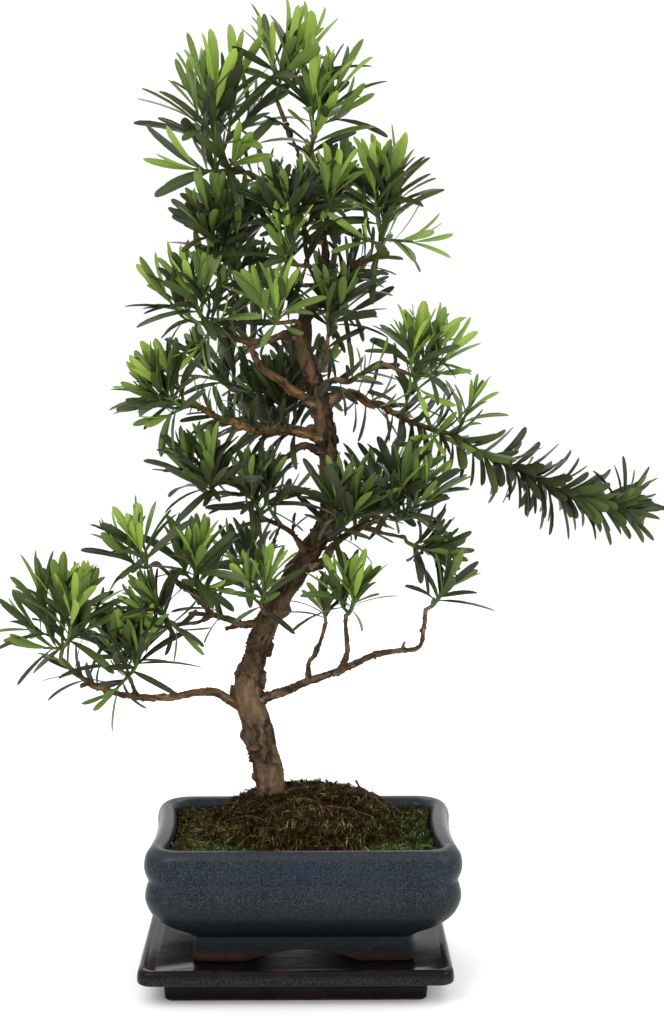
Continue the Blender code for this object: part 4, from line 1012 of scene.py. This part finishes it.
def grow_leaves(foliage, table, route, count, first_share, pitches, leaf, youth, rng, facing=None):
    """Leaves in a spiral up a shoot, from spreading at its foot to upright at its tip."""
    lengths = lengths_along(route)
    turn = rng.uniform(0, 2 * math.pi)
    wide = foliage.settings.width
    for i in range(count):
        share = i / max(1, count - 1)
        along = lengths[-1] * (first_share + (0.99 - first_share) * share)
        piece = next(k for k in range(len(route) - 1) if along <= lengths[k + 1] or k == len(route) - 2)
        axis = (route[piece + 1] - route[piece]).normalized()
        root = route[piece] + axis * (along - lengths[piece])
        pitch = math.radians(pitches[0] + (pitches[1] - pitches[0]) * share ** 1.2 + rng.uniform(-9, 9))
        out = around(axis, turn + i * GOLDEN_ANGLE + rng.uniform(-0.25, 0.25))
        way = axis * math.cos(pitch) + out * math.sin(pitch)
        way = way + Vector((0, 0, LONG_SINK if facing else LEAF_RISE))
        way.normalize()
        face = axis + facing if facing else axis
        face = (face - way * face.dot(way)).normalized()
        face = (face + face.cross(way) * rng.uniform(-LEAF_ROLL, LEAF_ROLL)).normalized()
        fresh = share > FLUSH_FROM
        grown = 0.82 + 0.18 * math.sin(math.pi * min(1, 0.25 + 0.75 * share))
        length = leaf * grown * rng.uniform(0.82, 1.1) * (0.92 if fresh else 1.04)
        if facing:
            length = leaf * rng.uniform(0.75, 1.2)
        width = (0.5 * leaf + 0.5 * length) * wide * rng.uniform(0.85, 1.15) * (1.06 if fresh else 0.96)
        width *= LONG_STOUTNESS if facing else 1
        recurve = 0.04 + 0.29 * (1 - share) * rng.uniform(0.3, 1.5)
        tip = root + way * length - face * recurve * length
        if clearance((root.lerp(tip, 0.5), tip), table) < 0.6:
            continue
        age = youth + (FLUSH if fresh else -FLUSH) + rng.uniform(-0.1, 0.1)
        tint = TINTS[0 if age < 0.22 else 1 if age < 0.48 else 2 if age < 0.78 else 3]
        foliage.add_leaf(tint, root, way, face, length, width, recurve, rng.uniform(0.08, 0.45),
                         rng.uniform(-0.08, 0.08), rng.uniform(-0.7, 0.7), rng.random())


def finer_shoots(route, count, reach, rng):
    """Shorter shoots that leave a shoot on its way and turn up towards its tip."""
    made = []
    first = rng.uniform(0, 2 * math.pi)
    for k in range(count):
        share = 0.12 + 0.5 * (k + rng.uniform(0.1, 0.9)) / count
        lengths = lengths_along(route)
        along = share * lengths[-1]
        piece = next(i for i in range(len(route) - 1) if along <= lengths[i + 1])
        axis = (route[piece + 1] - route[piece]).normalized()
        root = route[piece] + axis * (along - lengths[piece])
        out = around(axis, first + k * 2.4 + rng.uniform(-0.3, 0.3))
        way = (axis * 0.62 + out * 0.75 + Vector((0, 0, 0.25))).normalized()
        length = reach * rng.uniform(0.42, 0.62)
        made.append([root, root + way * length * 0.5, root + (way + axis * 0.3).normalized() * length])
    return made


def grow_long_bough(foliage, table, stem, shoots, youth, rng):
    """The long right bough's end: dark leaves all along it that point on, and three green shoots."""
    foliage.add_twig("twigs_brown", stem, 1.9, 1.0)
    fork = round(LONG_SPARSE * (len(stem) - 1))
    for part, leaves, pitches in ((stem[:fork + 1], 42, (64, 56)), (stem[fork:], 108, (58, 34))):
        grow_leaves(foliage, table, part, leaves, 0.02, pitches, LONG_LEAF, youth, rng, Vector(LONG_FACE))
    for shoot, leaves, younger in zip(shoots, (12, 15, 12, 11), (0.3, 0.8, 0.2, 0.85)):
        foliage.add_twig("twigs_green", shoot, 1.2, 0.8)
        grow_leaves(foliage, table, shoot, leaves, 0.1, (64, 12), LONG_LEAF, youth + younger, rng)


def grow_foliage(settings):
    """All leaves and twigs of the crown, from the same stems and shoots as the solids."""
    limbs = all_limbs()
    table = limb_table(limbs)
    growth = plan_masses(limbs, random.Random(SEED))
    rng = random.Random(SEED + 1)
    foliage = Foliage(settings)
    for name, (stem, shoots) in growth.items():
        youth = YOUTH.get(name, USUAL_YOUTH)
        if name == LONG_MASS:
            grow_long_bough(foliage, table, stem, shoots, youth, rng)
            continue
        reach, leaf, count = MASSES[name][-3:]
        leaf *= settings.longer
        full = FULLNESS.get(name, 1)
        foliage.add_twig("twigs_brown", stem, 1.6, 1.3)
        bare = lengths_along(stem)[-1]
        if bare > STEM_IN_LEAF:
            grow_leaves(foliage, table, stem, round(bare / 4.5), 0.35, (72, 58), leaf * 0.8, youth - 0.35, rng)
        for number, shoot in enumerate(shoots):
            own = youth + rng.uniform(-0.12, 0.12)
            low = number >= MASSES[name][4]
            leaves = count * settings.fuller * full * (LOW_FULLNESS if low else 1)
            size = leaf * (LOW_LENGTH if low else 1)
            foliage.add_twig("twigs_green", shoot, 1.2, 0.8)
            grow_leaves(foliage, table, shoot, round(leaves), 0.1 if low else 0.25, (64, 6), size, own, rng)
            for extra in finer_shoots(shoot, 1 if reach > 19 and not low else 0, reach, rng):
                foliage.add_twig("twigs_green", extra, 0.9, 0.6)
                grow_leaves(foliage, table, extra, round(count * full), 0.3, (62, 10), leaf * 0.8, own - 0.22, rng)
    for name, (first_share, leaves) in LEAFY_BOUGHS.items():
        grow_leaves(foliage, table, limbs[name].route, leaves, first_share, (66, 44), BOUGH_LEAF, 0.2, rng)
    return foliage


def leaf_finish(name, colour, roughness):
    """A leaf's skin: its own shade of the tint, a pale midrib and root, and a duller underside."""
    finish = Finish(name, Specular_IOR_Level=0.3)
    marks = finish.attribute("leaf", "Vector")
    rib, along, chance = (finish.split(marks, axis) for axis in "XYZ")
    fine = finish.noise(420, 2)
    pale = tuple(1.5 * channel + lift for channel, lift in zip(colour, (0.012, 0.016, 0.003)))
    base = finish.mix(chance, shade(colour, (0.6, 0.68, 0.8)), shade(colour, (1.42, 1.32, 1.1)))
    base = finish.mix(fine.between(0.4, 0.8) * 0.25, base, shade(colour, 0.7))
    base = finish.mix(rib.between(0.78, 0.96) * 0.55, base, pale)
    base = finish.mix(along.between(0.22, 0) * 0.6, base, pale)
    base = finish.mix(rib.between(-0.05, -0.2) * 0.55, base, pale)
    finish.surface(base, roughness + 0.12 * fine + rib.between(0, -0.2) * 0.2)
    finish.bump(rib.between(0.7, 1), 0.0003, 0.6)
    return finish


# Soil

def mound_height(x, y):
    """Height of the soil at a place: a broad mound round the trunk, a little rough."""
    reach = math.hypot((x - MOUND_PLACE[0]) / MOUND_REACH[0], (y - MOUND_PLACE[1]) / MOUND_REACH[1])
    rise = SOIL_RISE * max(0, 1 - reach ** 3.6) ** 1.2
    rough = math.sin(0.31 * x + 0.8) * math.sin(0.37 * y + 2.1) + 0.6 * math.sin(0.83 * x - 0.6 * y)
    return SOIL_EDGE + rise + 1.1 * rough * min(1, rise / 8)


def soil_height(x, y):
    """The mound with its clods and crumbs."""
    clod = noise.noise(Vector((x * 0.13, y * 0.13, 2)))
    crumb = noise.noise(Vector((x * 0.36, y * 0.36, 7)))
    grain = noise.noise(Vector((x * 1.1, y * 1.1, 4)))
    edge = min(1, max(0, (mound_height(x, y) - SOIL_EDGE) / 6))
    return mound_height(x, y) + (0.6 + 1.9 * edge) * clod + (0.9 + 0.9 * edge) * crumb + 0.6 * grain


def into_corner(a, b):
    """A place in a square corner, moved into the round one."""
    return a * math.sqrt(1 - b * b / 2), b * math.sqrt(1 - a * a / 2)


def soil_place(u, v):
    """A place on the soil from its shares of the way across, each from -1 to 1."""
    half_x, half_y = POT_LENGTH / 2 - SOIL_INSET, POT_DEPTH / 2 - SOIL_INSET
    corner = max(POT_CORNER - 0.45 * SOIL_INSET, 4)
    x, y = abs(u) * half_x, abs(v) * half_y
    in_x, in_y = half_x - corner, half_y - corner
    if x > in_x and y > in_y:
        a, b = into_corner((x - in_x) / corner, (y - in_y) / corner)
        x, y = in_x + a * corner, in_y + b * corner
    elif y <= in_y:
        x -= POT_PINCH * (1 - (y / in_y) ** 2) * (x / half_x)
    return math.copysign(x, u) + POT_SHIFT, math.copysign(y, v)


SOIL_INSET = 14.15
SOIL_CELLS = (170, 130)


def build_soil_bed():
    """The bed: a fine grid shaped to the mound, whose border is drawn down inside the pot."""
    deselect()
    bpy.ops.mesh.primitive_grid_add(x_subdivisions=SOIL_CELLS[0], y_subdivisions=SOIL_CELLS[1], size=2)
    piece = bpy.context.object
    for vertex in piece.data.vertices:
        x, y = soil_place(vertex.co.x, vertex.co.y)
        rim = max(abs(vertex.co.x), abs(vertex.co.y)) > 0.999
        vertex.co = mm(x, y, SOIL_EDGE - 1 if rim else soil_height(x, y))
    bpy.ops.object.mode_set(mode="EDIT")
    bpy.ops.mesh.select_mode(type="EDGE")
    bpy.ops.mesh.select_all(action="DESELECT")
    bpy.ops.mesh.select_non_manifold()
    middle = mm(POT_SHIFT, 0, 0)
    for drop, share_x, share_y in ((30, 1, 1), (10.2, 0.952, 0.935), (5.6, 0.885, 0.84)):
        bpy.ops.mesh.extrude_region_move(TRANSFORM_OT_translate={"value": mm(0, 0, -drop)})
        bpy.ops.transform.resize(value=(share_x, share_y, 1), center_override=middle)
    bpy.ops.mesh.edge_face_add()
    bpy.ops.mesh.select_all(action="SELECT")
    bpy.ops.mesh.normals_make_consistent(inside=False)
    bpy.ops.object.mode_set(mode="OBJECT")
    return settle(piece, "soil_bed", 80)


def blade_piece(name, count, spots, sizes, lean, seed, bend=0.3):
    """Many thin blades or fibres lying on the soil: three-sided spindles, bent in the middle."""
    rng = np.random.default_rng(seed)
    places, faces = [], []
    tried = 0
    while count and tried < 12 * count:
        tried += 1
        u, v = rng.uniform(-0.985, 0.985, 2)
        x, y = soil_place(u, v)
        if rng.random() > spots(x, y):
            continue
        length = rng.uniform(*sizes[:2])
        thick = sizes[2] * rng.uniform(0.7, 1.3)
        turn = rng.uniform(0, 2 * np.pi)
        rise = np.radians(rng.uniform(*lean))
        way = np.array((np.cos(turn) * np.cos(rise), np.sin(turn) * np.cos(rise), np.sin(rise)))
        side = np.array((-np.sin(turn), np.cos(turn), 0))
        over = np.cross(way, side)
        foot = np.array((x, y, soil_height(x, y) - 0.3))
        sway = side * rng.uniform(-bend, bend) * length + over * rng.uniform(-0.5, 0.3) * bend * length
        ends = (foot, foot + way * length * 0.5 + sway * 0.5, foot + way * length)
        if lean[1] < 30:
            ends = (ends[0], ends[1], ends[2] + (0, 0, soil_height(*soil_clamp(ends[2])) - ends[2][2] + 0.7))
            ends = (ends[0], ends[1] + (0, 0, soil_height(*soil_clamp(ends[1])) - ends[1][2] + 1.3), ends[2])
        start = len(places)
        ring = [side * thick * 0.5, -side * thick * 0.5, over * thick * 0.5]
        places += [ends[0] + part * 0.7 for part in ring]
        places += [ends[1] + part for part in ring]
        places.append(ends[2])
        a = start
        faces += [(a + 2, a + 1, a), (a, a + 1, a + 4, a + 3), (a + 1, a + 2, a + 5, a + 4),
                  (a + 2, a, a + 3, a + 5), (a + 3, a + 4, a + 6), (a + 4, a + 5, a + 6), (a + 5, a + 3, a + 6)]
        count -= 1
    return from_arrays(name, places, faces, 60)


def soil_clamp(place):
    reach_x = POT_LENGTH / 2 - SOIL_INSET - 3
    reach_y = POT_DEPTH / 2 - SOIL_INSET - 3
    return (min(POT_SHIFT + reach_x, max(POT_SHIFT - reach_x, place[0])),
            min(reach_y, max(-reach_y, place[1])))


def on_mound(x, y):
    return min(1, max(0, (mound_height(x, y) - SOIL_EDGE) / 9))


def patch(x, y, where_x, where_y, reach):
    return math.exp(-((x - where_x) ** 2 + (y - where_y) ** 2) / (2 * reach ** 2))


def green_spots(x, y):
    speck = 0.5 + 0.5 * noise.noise(Vector((x * 0.13, y * 0.13, 11)))
    tuft = min(1, max(0.05, 0.4 + 2.4 * noise.noise(Vector((x * 0.3, y * 0.3, 17)))))
    flat = 1 - on_mound(x, y)
    bright = max(patch(x, y, -55, -52, 14), patch(x, y, 72, -45, 22), patch(x, y, 84, 0, 20))
    return max(0.12 * speck + 0.3 * flat * speck, bright) * tuft


def rust_spots(x, y):
    return max(patch(x, y, -78, -50, 14), patch(x, y, -52, 30, 16), 0.06)


def clump(x, y, where, least=0.12):
    """Bits lie in clumps: how likely one is at a place."""
    return min(1, max(least, 0.45 + 2.4 * noise.noise(Vector((x * 0.11, y * 0.11, where)))))


def brown_spots(x, y):
    return (0.25 + 0.75 * on_mound(x, y)) * clump(x, y, 23)


def dark_spots(x, y):
    return (0.25 + 0.75 * on_mound(x, y)) * clump(x, y, 31, 0.3)


def straw_spots(x, y):
    return clump(x, y, 23) * 0.12 + 0.8 * clump(x, y, 37) * max(patch(x, y, 20, -40, 25), patch(x, y, 34, -20, 20), patch(x, y, -62, -20, 14))


def soil_finish():
    finish = Finish("moist_mix", Roughness=1.0, Specular_IOR_Level=0.0)
    crumb = finish.noise(330, 5, 0.7)
    patches = finish.noise(38, 3, 0.6)
    base = finish.mix(crumb.between(0.38, 0.68), (0.003, 0.002, 0.0005), (0.036, 0.022, 0.007))
    base = finish.mix(patches.between(0.45, 0.62) * 0.55, base, (0.014, 0.017, 0.002))
    finish.surface(base)
    finish.bump(crumb, 0.0015, 1.0)
    return finish


def plain_finish(name, colour, roughness=0.8, spread=0.5):
    """One colour, lighter and darker from place to place, as on dead fibres and moss."""
    finish = Finish(name, Specular_IOR_Level=0.05)
    drift = finish.noise(120, 3, 0.6)
    base = finish.mix(drift.between(0.35, 0.65), shade(colour, 1 - spread), shade(colour, 1 + spread))
    finish.surface(base, roughness + 0.1 * drift)
    return finish


# Operators

class BONSAI_OT_saucer(Operator):
    """Builds the dark glazed saucer"""
    bl_idname = "bonsai.saucer"
    bl_label = "Saucer"

    def execute(self, context):
        settings = context.scene.bonsai_pot
        rows = finer_profile(SAUCER_PROFILE, (0, 1, 3))
        saucer = vessel("saucer_glazed", rows, SAUCER_LENGTH, SAUCER_DEPTH, SAUCER_CORNER, 0, 0)
        settle(saucer, "saucer_glazed", 45)
        finish = Finish("dark_saucer_glaze", Specular_IOR_Level=0.08, Coat_Roughness=0.05)
        height = finish.split(finish.place, "Z")
        drips = finish.noise(120, 4, 0.6)
        worn = finish.noise(55, 3, 0.6, finish.stretched(finish.place, 0.5, 1, 1.6))
        speck = finish.noise(620, 2, 0.6)
        low = (height + drips * 0.003).between(0.0033, 0.0020)
        lip = (height + drips * 0.0006).between(0.0250, 0.0253)
        band = height.between(0.0155, 0.0165) * height.between(0.0225, 0.0185)
        base = finish.mix(drips.between(0.4, 0.7), tuple(settings.dark_glaze), (0.006, 0.0055, 0.006))
        base = finish.mix(worn.between(0.54, 0.68) * 0.5, base, (0.020, 0.007, 0.006))
        base = finish.mix(band * speck.between(0.42, 0.58) * 0.8, base, (0.019, 0.025, 0.028))
        base = finish.mix(lip * worn.between(0.45, 0.6) * 0.7, base, (0.07, 0.016, 0.010))
        base = finish.mix(low * 0.8, base, (0.08, 0.022, 0.012))
        finish.surface(base, 0.12 + 0.5 * low + 0.12 * drips, 0.05)
        finish.bump(worn + drips * 0.2, 0.0006, 0.35)
        finish.dress(saucer)
        hand_over(saucer, "saucer_glaze", "saucer")
        return {"FINISHED"}


class BONSAI_OT_pot(Operator):
    """Builds the glazed pot with its foot arches and drain holes"""
    bl_idname = "bonsai.pot"
    bl_label = "Pot"

    def execute(self, context):
        settings = context.scene.bonsai_pot
        rows = finer_profile(POT_PROFILE, (0, 1, 2, 3, 20, 21, 22))
        pot = vessel("pot_glazed", rows, POT_LENGTH, POT_DEPTH, POT_CORNER, POT_PINCH, POT_SHIFT)
        arch_radius = ((ARCH_WIDTH / 2) ** 2 + ARCH_RISE ** 2) / (2 * ARCH_RISE)
        deselect()
        bpy.ops.mesh.primitive_cylinder_add(
            vertices=256, radius=arch_radius * MM, depth=POT_DEPTH * MM, rotation=(math.radians(90), 0, 0),
            location=mm(POT_SHIFT, 0, FOOT_BOTTOM + ARCH_RISE - arch_radius))
        cut_with(pot, bpy.context.object)
        for side in (-1, 1):
            deselect()
            bpy.ops.mesh.primitive_cylinder_add(
                vertices=40, radius=DRAIN_RADIUS * MM, depth=0.03,
                location=mm(POT_SHIFT + side * DRAIN_SPACING / 2, 0, POT_FLOOR))
            cut_with(pot, bpy.context.object)
        for vertex in pot.data.vertices:
            place = vertex.co / MM
            if place.z > FOOT_BOTTOM + 0.5 and place.z < 97:
                lean = noise.noise(place * 0.018 + Vector((0, 0, 5)))
                vertex.co.x += settings.waver * lean
                vertex.co.y += settings.waver * noise.noise(place * 0.021)
        settle(pot, "pot_glazed", 40)
        self.glaze(settings).dress(pot)
        hand_over(pot, "pot_glaze", "pot")
        return {"FINISHED"}

    def glaze(self, settings):
        finish = Finish("speckled_blue_glaze", Specular_IOR_Level=0.1, Coat_Roughness=0.12)
        across, height = (finish.split(finish.place, axis) for axis in "XZ")
        speck = finish.noise(900, 2, 0.6)
        fleck = finish.noise(2000, 2, 0.5)
        run = finish.noise(360, 3, 0.65, finish.stretched(finish.place, 1, 1, 0.25))
        cloud = finish.noise(28, 3, 0.6)
        wander = finish.noise(60, 3, 0.6)
        base = finish.mix(cloud.between(0.35, 0.65), tuple(settings.glaze), (0.009, 0.013, 0.015))
        base = finish.mix(speck.between(0.5, 0.58) * 0.8, base, tuple(settings.speckle))
        base = finish.mix(fleck.between(0.57, 0.66) * 0.5, base, (0.10, 0.12, 0.13))
        base = finish.mix(fleck.between(0.47, 0.39) * 0.85, base, (0.0015, 0.0025, 0.004))
        blue = height.between(0.0805, 0.0885) * height.between(0.0985, 0.0945)
        base = finish.mix(blue * (run + speck).between(0.95, 1.12) * 0.65, base, (0.011, 0.020, 0.046))
        base = finish.mix(blue * (run + speck).between(0.92, 0.8) * 0.6, base, (0.005, 0.007, 0.010))
        waist = height.between(0.0735, 0.077) * height.between(0.083, 0.0795)
        base = finish.mix(waist * (run + speck).between(0.9, 1.1) * 0.5, base, (0.014, 0.024, 0.048))
        lip = height.between(0.0965, 0.1)
        base = finish.mix(lip * 0.8, base, (0.033, 0.035, 0.041))
        base = finish.mix(lip * (speck + run * 0.5).between(0.7, 0.85) * 0.75, base, (0.009, 0.012, 0.017))
        # Painted shade: the glaze is darkened below the bulge, most where the body turns under towards the foot
        painted_shade_below_bulge = height.between(0.084, 0.054)
        base = finish.mix(painted_shade_below_bulge * 0.64, base, (0.0044, 0.0070, 0.0100))
        line = height + wander * 0.007 + across * 0.022
        bare = line.between(0.0318, 0.0302)
        edge = line.between(0.0345, 0.0322) * (1 - bare)
        base = finish.mix(edge * 0.75, base, (0.020, 0.014, 0.014))
        clay = finish.mix(wander.between(0.3, 0.7), shade(settings.clay, 0.4), tuple(settings.clay))
        clay = finish.mix(height.between(0.0265, 0.0225) * 0.7, clay, shade(settings.clay, 0.25))
        base = finish.mix(bare, base, clay)
        rough = (0.34 - 0.12 * lip + 0.1 * speck).largest(bare * 0.8)
        finish.surface(base, rough, (1 - bare) * 0.06)
        finish.bump(speck * 0.6 + cloud, 0.0006, 0.4)
        return finish


class BONSAI_OT_soil(Operator):
    """Builds the soil with its moss, fibres, dead twigs and arching root"""
    bl_idname = "bonsai.soil"
    bl_label = "Soil"

    def execute(self, context):
        settings = context.scene.bonsai_soil
        bed = build_soil_bed()
        soil_finish().dress(bed)
        hand_over(bed, "soil", "soil")
        kinds = (
            ("moss_green", settings.moss, green_spots, (1.6, 4.2, 0.75), (25, 85), (0.033, 0.056, 0.015)),
            ("moss_pale", settings.moss // 5, green_spots, (1.6, 3.8, 0.7), (30, 85), (0.13, 0.18, 0.06)),
            ("moss_rust", settings.moss // 6, rust_spots, (1.8, 4, 0.7), (15, 80), (0.13, 0.058, 0.014)),
            ("litter_brown", settings.fibre, brown_spots, (4, 14, 0.5), (-4, 20), (0.045, 0.028, 0.012)),
            ("litter_dark", settings.fibre, dark_spots, (2, 7, 1.1), (-4, 34), (0.006, 0.004, 0.001)),
            ("litter_red", settings.fibre // 4, brown_spots, (2, 7, 1), (-4, 30), (0.075, 0.034, 0.010)),
            ("litter_straw", settings.fibre // 7, straw_spots, (2, 11, 0.5), (-2, 16), (0.21, 0.15, 0.085)))
        for number, (name, count, spots, sizes, lean, colour) in enumerate(kinds):
            piece = blade_piece(name, count, spots, sizes, lean, SEED + number)
            plain_finish(name + "_finish", colour, 0.8, 0.7).dress(piece)
            hand_over(piece, "soil")
        self.dead_wood()
        return {"FINISHED"}

    def dead_wood(self):
        """The dead twigs and the arching root that lie on the mound."""
        routes = []
        for places, start, end in DEAD_TWIGS:
            fine, radii, _ = resample([Vector(place) for place in places],
                                      tapered([Vector(place) for place in places], start, end), 1.5)
            routes.append((fine, radii))
        piece = twig_piece("dead_twigs", routes, 8)
        plain_finish("dead_twig_finish", (0.045, 0.026, 0.016)).dress(piece)
        hand_over(piece, "bark")


class BONSAI_OT_wood(Operator):
    """Builds the trunk and the boughs with the relief of their bark"""
    bl_idname = "bonsai.wood"
    bl_label = "Trunk and boughs"

    def execute(self, context):
        settings = context.scene.bonsai_wood
        limbs = all_limbs()
        trunk = Bark("trunk_bark")
        trunk.add(limbs["trunk"].route, limbs["trunk"].radii, 72, 1.05, 4.2, settings.relief / MM, 98)
        piece = trunk.finish()
        self.shape_trunk(piece)
        bark_finish("trunk_bark_finish", settings, 0.3, 0.2, 0.75).dress(piece)
        hand_over(piece, "bark", "trunk")
        boughs = Bark("bough_bark")
        for number, (name, (parent, start, end, places)) in enumerate(BOUGHS.items()):
            limb = limbs[name]
            carrier = limbs[parent]
            buried = min(radius for radius in carrier.radii if radius) if parent != "trunk" else 6
            boughs.add(limb.route, limb.radii, 26, 1.2, 2.0, settings.bough_relief / MM, 11 + number,
                       WARMTH.get(name, 0.2), 0.55, buried, 5)
        for number, (name, share, way, length, thick) in enumerate(STUBS):
            route = limbs[name].route
            foot = route[round(share * (len(route) - 1))]
            way = Vector(way).normalized()
            stub = [foot, foot + way * length * 0.6, foot + way * length + Vector((0.6, 0.4, 0))]
            boughs.add(stub, [thick * 1.4, thick, thick * 0.8], 14, 1.2, 1.6, settings.bough_relief / MM,
                       50 + number, WARMTH.get(name, 0.2))
        piece = boughs.finish()
        bark_finish("bough_bark_finish", settings, 0.2, 0.6, 0.25).dress(piece)
        hand_over(piece, "bark", *BOUGHS)
        return {"FINISHED"}

    def shape_trunk(self, piece):
        """The root flare's lobes, the knobs where boughs were lost, and the cut at soil level."""
        foot = Vector(TRUNK_ROUTE[0])
        middles = smooth_route(TRUNK_ROUTE, 2)
        heights = [place.z for place in middles]
        for vertex in piece.data.vertices:
            place = vertex.co / MM
            above = max(0, place.z - CUT_LEVEL)
            if above < 5 * FLARE_HEIGHT:
                out = place - foot
                lobe = math.cos(FLARE_LOBES * math.atan2(out.y, out.x) + 0.6)
                swell = 1 + 0.1 * lobe * math.exp(-above / FLARE_HEIGHT)
                place.x = foot.x + out.x * swell
                place.y = foot.y + out.y * swell
            for height, turn, size, reach in KNOBS:
                if abs(place.z - height) < 3 * reach:
                    middle = middles[int(np.searchsorted(heights, height))]
                    out = place - Vector((middle.x, middle.y, place.z))
                    aside = math.atan2(out.y, out.x) - math.radians(turn)
                    aside = (aside + math.pi) % (2 * math.pi) - math.pi
                    away = math.hypot(place.z - height, aside * out.length) / reach
                    place += out.normalized() * size * math.exp(-away * away)
            vertex.co = place * MM
        deselect()
        bpy.context.view_layer.objects.active = piece
        bpy.ops.object.mode_set(mode="EDIT")
        bpy.ops.mesh.select_all(action="SELECT")
        bpy.ops.mesh.bisect(plane_co=mm(0, 0, CUT_LEVEL), plane_no=(0, 0, 1), use_fill=True, clear_inner=True)
        bpy.ops.object.mode_set(mode="OBJECT")
        deselect()


class BONSAI_OT_leaves(Operator):
    """Grows the twigs and leaves of every mass"""
    bl_idname = "bonsai.leaves"
    bl_label = "Leaves"

    def execute(self, context):
        settings = context.scene.bonsai_leaves
        foliage = grow_foliage(settings)
        masses = [*MASSES, LONG_MASS]
        for number, tint in enumerate(TINTS):
            widths = SPEAR_WIDTHS if tint in ("fresh", "young") else STRAP_WIDTHS
            piece = leaf_piece("leaves_" + tint, foliage.leaves[tint], widths)
            leaf_finish("leaf_" + tint, tuple(getattr(settings, tint)), 0.36 + 0.03 * number).dress(piece)
            hand_over(piece, "young_leaf" if tint == "young" else "leaf", *(masses if not number else ()))
        for kind, colour in (("twigs_brown", (0.11, 0.07, 0.035)), ("twigs_green", (0.07, 0.11, 0.03))):
            piece = twig_piece(kind, foliage.twigs[kind])
            plain_finish(kind + "_finish", colour, 0.6, 0.35).dress(piece)
            hand_over(piece, "bark")
        return {"FINISHED"}


class BONSAI_OT_stage(Operator):
    """Sets up the floor, the soft light and the camera"""
    bl_idname = "bonsai.stage"
    bl_label = "Stage"

    def execute(self, context):
        settings = context.scene.bonsai_stage
        deselect()
        bpy.ops.mesh.primitive_plane_add(size=12, location=(0, 0, 0))
        floor = settle(bpy.context.object, "floor")
        finish = Finish("pale_floor", Roughness=0.9, Specular_IOR_Level=0.1)
        finish.surface(tuple(settings.floor))
        finish.dress(floor)
        for name, place, size, power in LIGHTS:
            bpy.ops.object.light_add(type="AREA", location=place)
            light = bpy.context.object
            light.name = name
            light.data.shape = "RECTANGLE"
            light.data.size, light.data.size_y = size
            light.data.energy = power
            light.rotation_euler = (Vector((0, 0, 0.3)) - Vector(place)).to_track_quat("-Z", "Y").to_euler()
        world = bpy.data.worlds.new("soft_room")
        world.use_nodes = True
        world.node_tree.nodes["Background"].inputs["Color"].default_value = (1, 1, 1, 1)
        world.node_tree.nodes["Background"].inputs["Strength"].default_value = settings.light
        context.scene.world = world
        context.scene.view_settings.view_transform = "Standard"
        camera = bpy.data.objects.new("photo_camera", bpy.data.cameras.new("photo_camera"))
        context.scene.collection.objects.link(camera)
        camera.location = CAMERA_PLACE
        camera.rotation_euler = (math.radians(90 - CAMERA_DOWN), 0, math.radians(-CAMERA_RIGHT))
        camera.data.lens = CAMERA_LENS
        camera.data.sensor_width = 36
        context.scene.camera = camera
        return {"FINISHED"}


LIGHTS = (("key_softbox", (-1.1, -1.5, 1.7), (1.4, 1.4), 30), ("fill_softbox", (1.6, -1.0, 1.1), (1.2, 1.2), 14),
          ("back_softbox", (0.2, 1.4, 1.9), (1.6, 1.0), 16))
CAMERA_PLACE = (0.007, -1.2875, 0.4365)
CAMERA_DOWN = 5.48
CAMERA_RIGHT = 0.77
CAMERA_LENS = 68.3

# Dead twigs and the arching root on the mound: places along each, its start and end half thickness
DEAD_TWIGS = (
    (((34, -6, 124), (42, -8, 128), (50, -10, 124), (58, -12, 117)), 1.0, 0.6),
    (((40, -8, 133), (44, -9, 127), (52, -12, 121)), 0.8, 0.5),
    (((-13, -10, 119), (-6, -13, 127), (4, -14, 129), (12, -12, 123)), 0.9, 0.7),
    (((20, -30, 121), (34, -34, 120), (50, -34, 115)), 0.7, 0.4),
    (((-44, -30, 112), (-30, -40, 117), (-18, -44, 114)), 0.6, 0.4),
    (((50, 4, 122), (62, 2, 116), (74, -2, 106)), 0.8, 0.4),
)


class BONSAI_PT_panel(Panel):
    """Lists the pieces in the sidebar"""
    bl_label = "Buddhist pine bonsai"
    bl_idname = "BONSAI_PT_panel"
    bl_space_type = "VIEW_3D"
    bl_region_type = "UI"
    bl_category = "Bonsai"

    def draw(self, context):
        for name in STEPS:
            self.layout.operator("bonsai." + name)
        for group in SETTINGS:
            box = self.layout.box()
            values = getattr(context.scene, group)
            for key in type(values).__annotations__:
                box.prop(values, key)


STEPS = ("stage", "saucer", "pot", "soil", "wood", "leaves")
SETTINGS = {"bonsai_pot": PotSettings, "bonsai_soil": SoilSettings, "bonsai_wood": WoodSettings,
            "bonsai_leaves": LeafSettings, "bonsai_stage": StageSettings}
CLASSES = (*SETTINGS.values(), BONSAI_OT_saucer, BONSAI_OT_pot, BONSAI_OT_soil, BONSAI_OT_wood,
           BONSAI_OT_leaves, BONSAI_OT_stage, BONSAI_PT_panel)


def register():
    for item in CLASSES:
        bpy.utils.register_class(item)
    for name, group in SETTINGS.items():
        setattr(bpy.types.Scene, name, PointerProperty(type=group))


def unregister():
    for name in SETTINGS:
        delattr(bpy.types.Scene, name)
    for item in reversed(CLASSES):
        bpy.utils.unregister_class(item)


def main():
    register()
    for name in STEPS:
        getattr(bpy.ops.bonsai, name)()


if __name__ == "__main__":
    main()
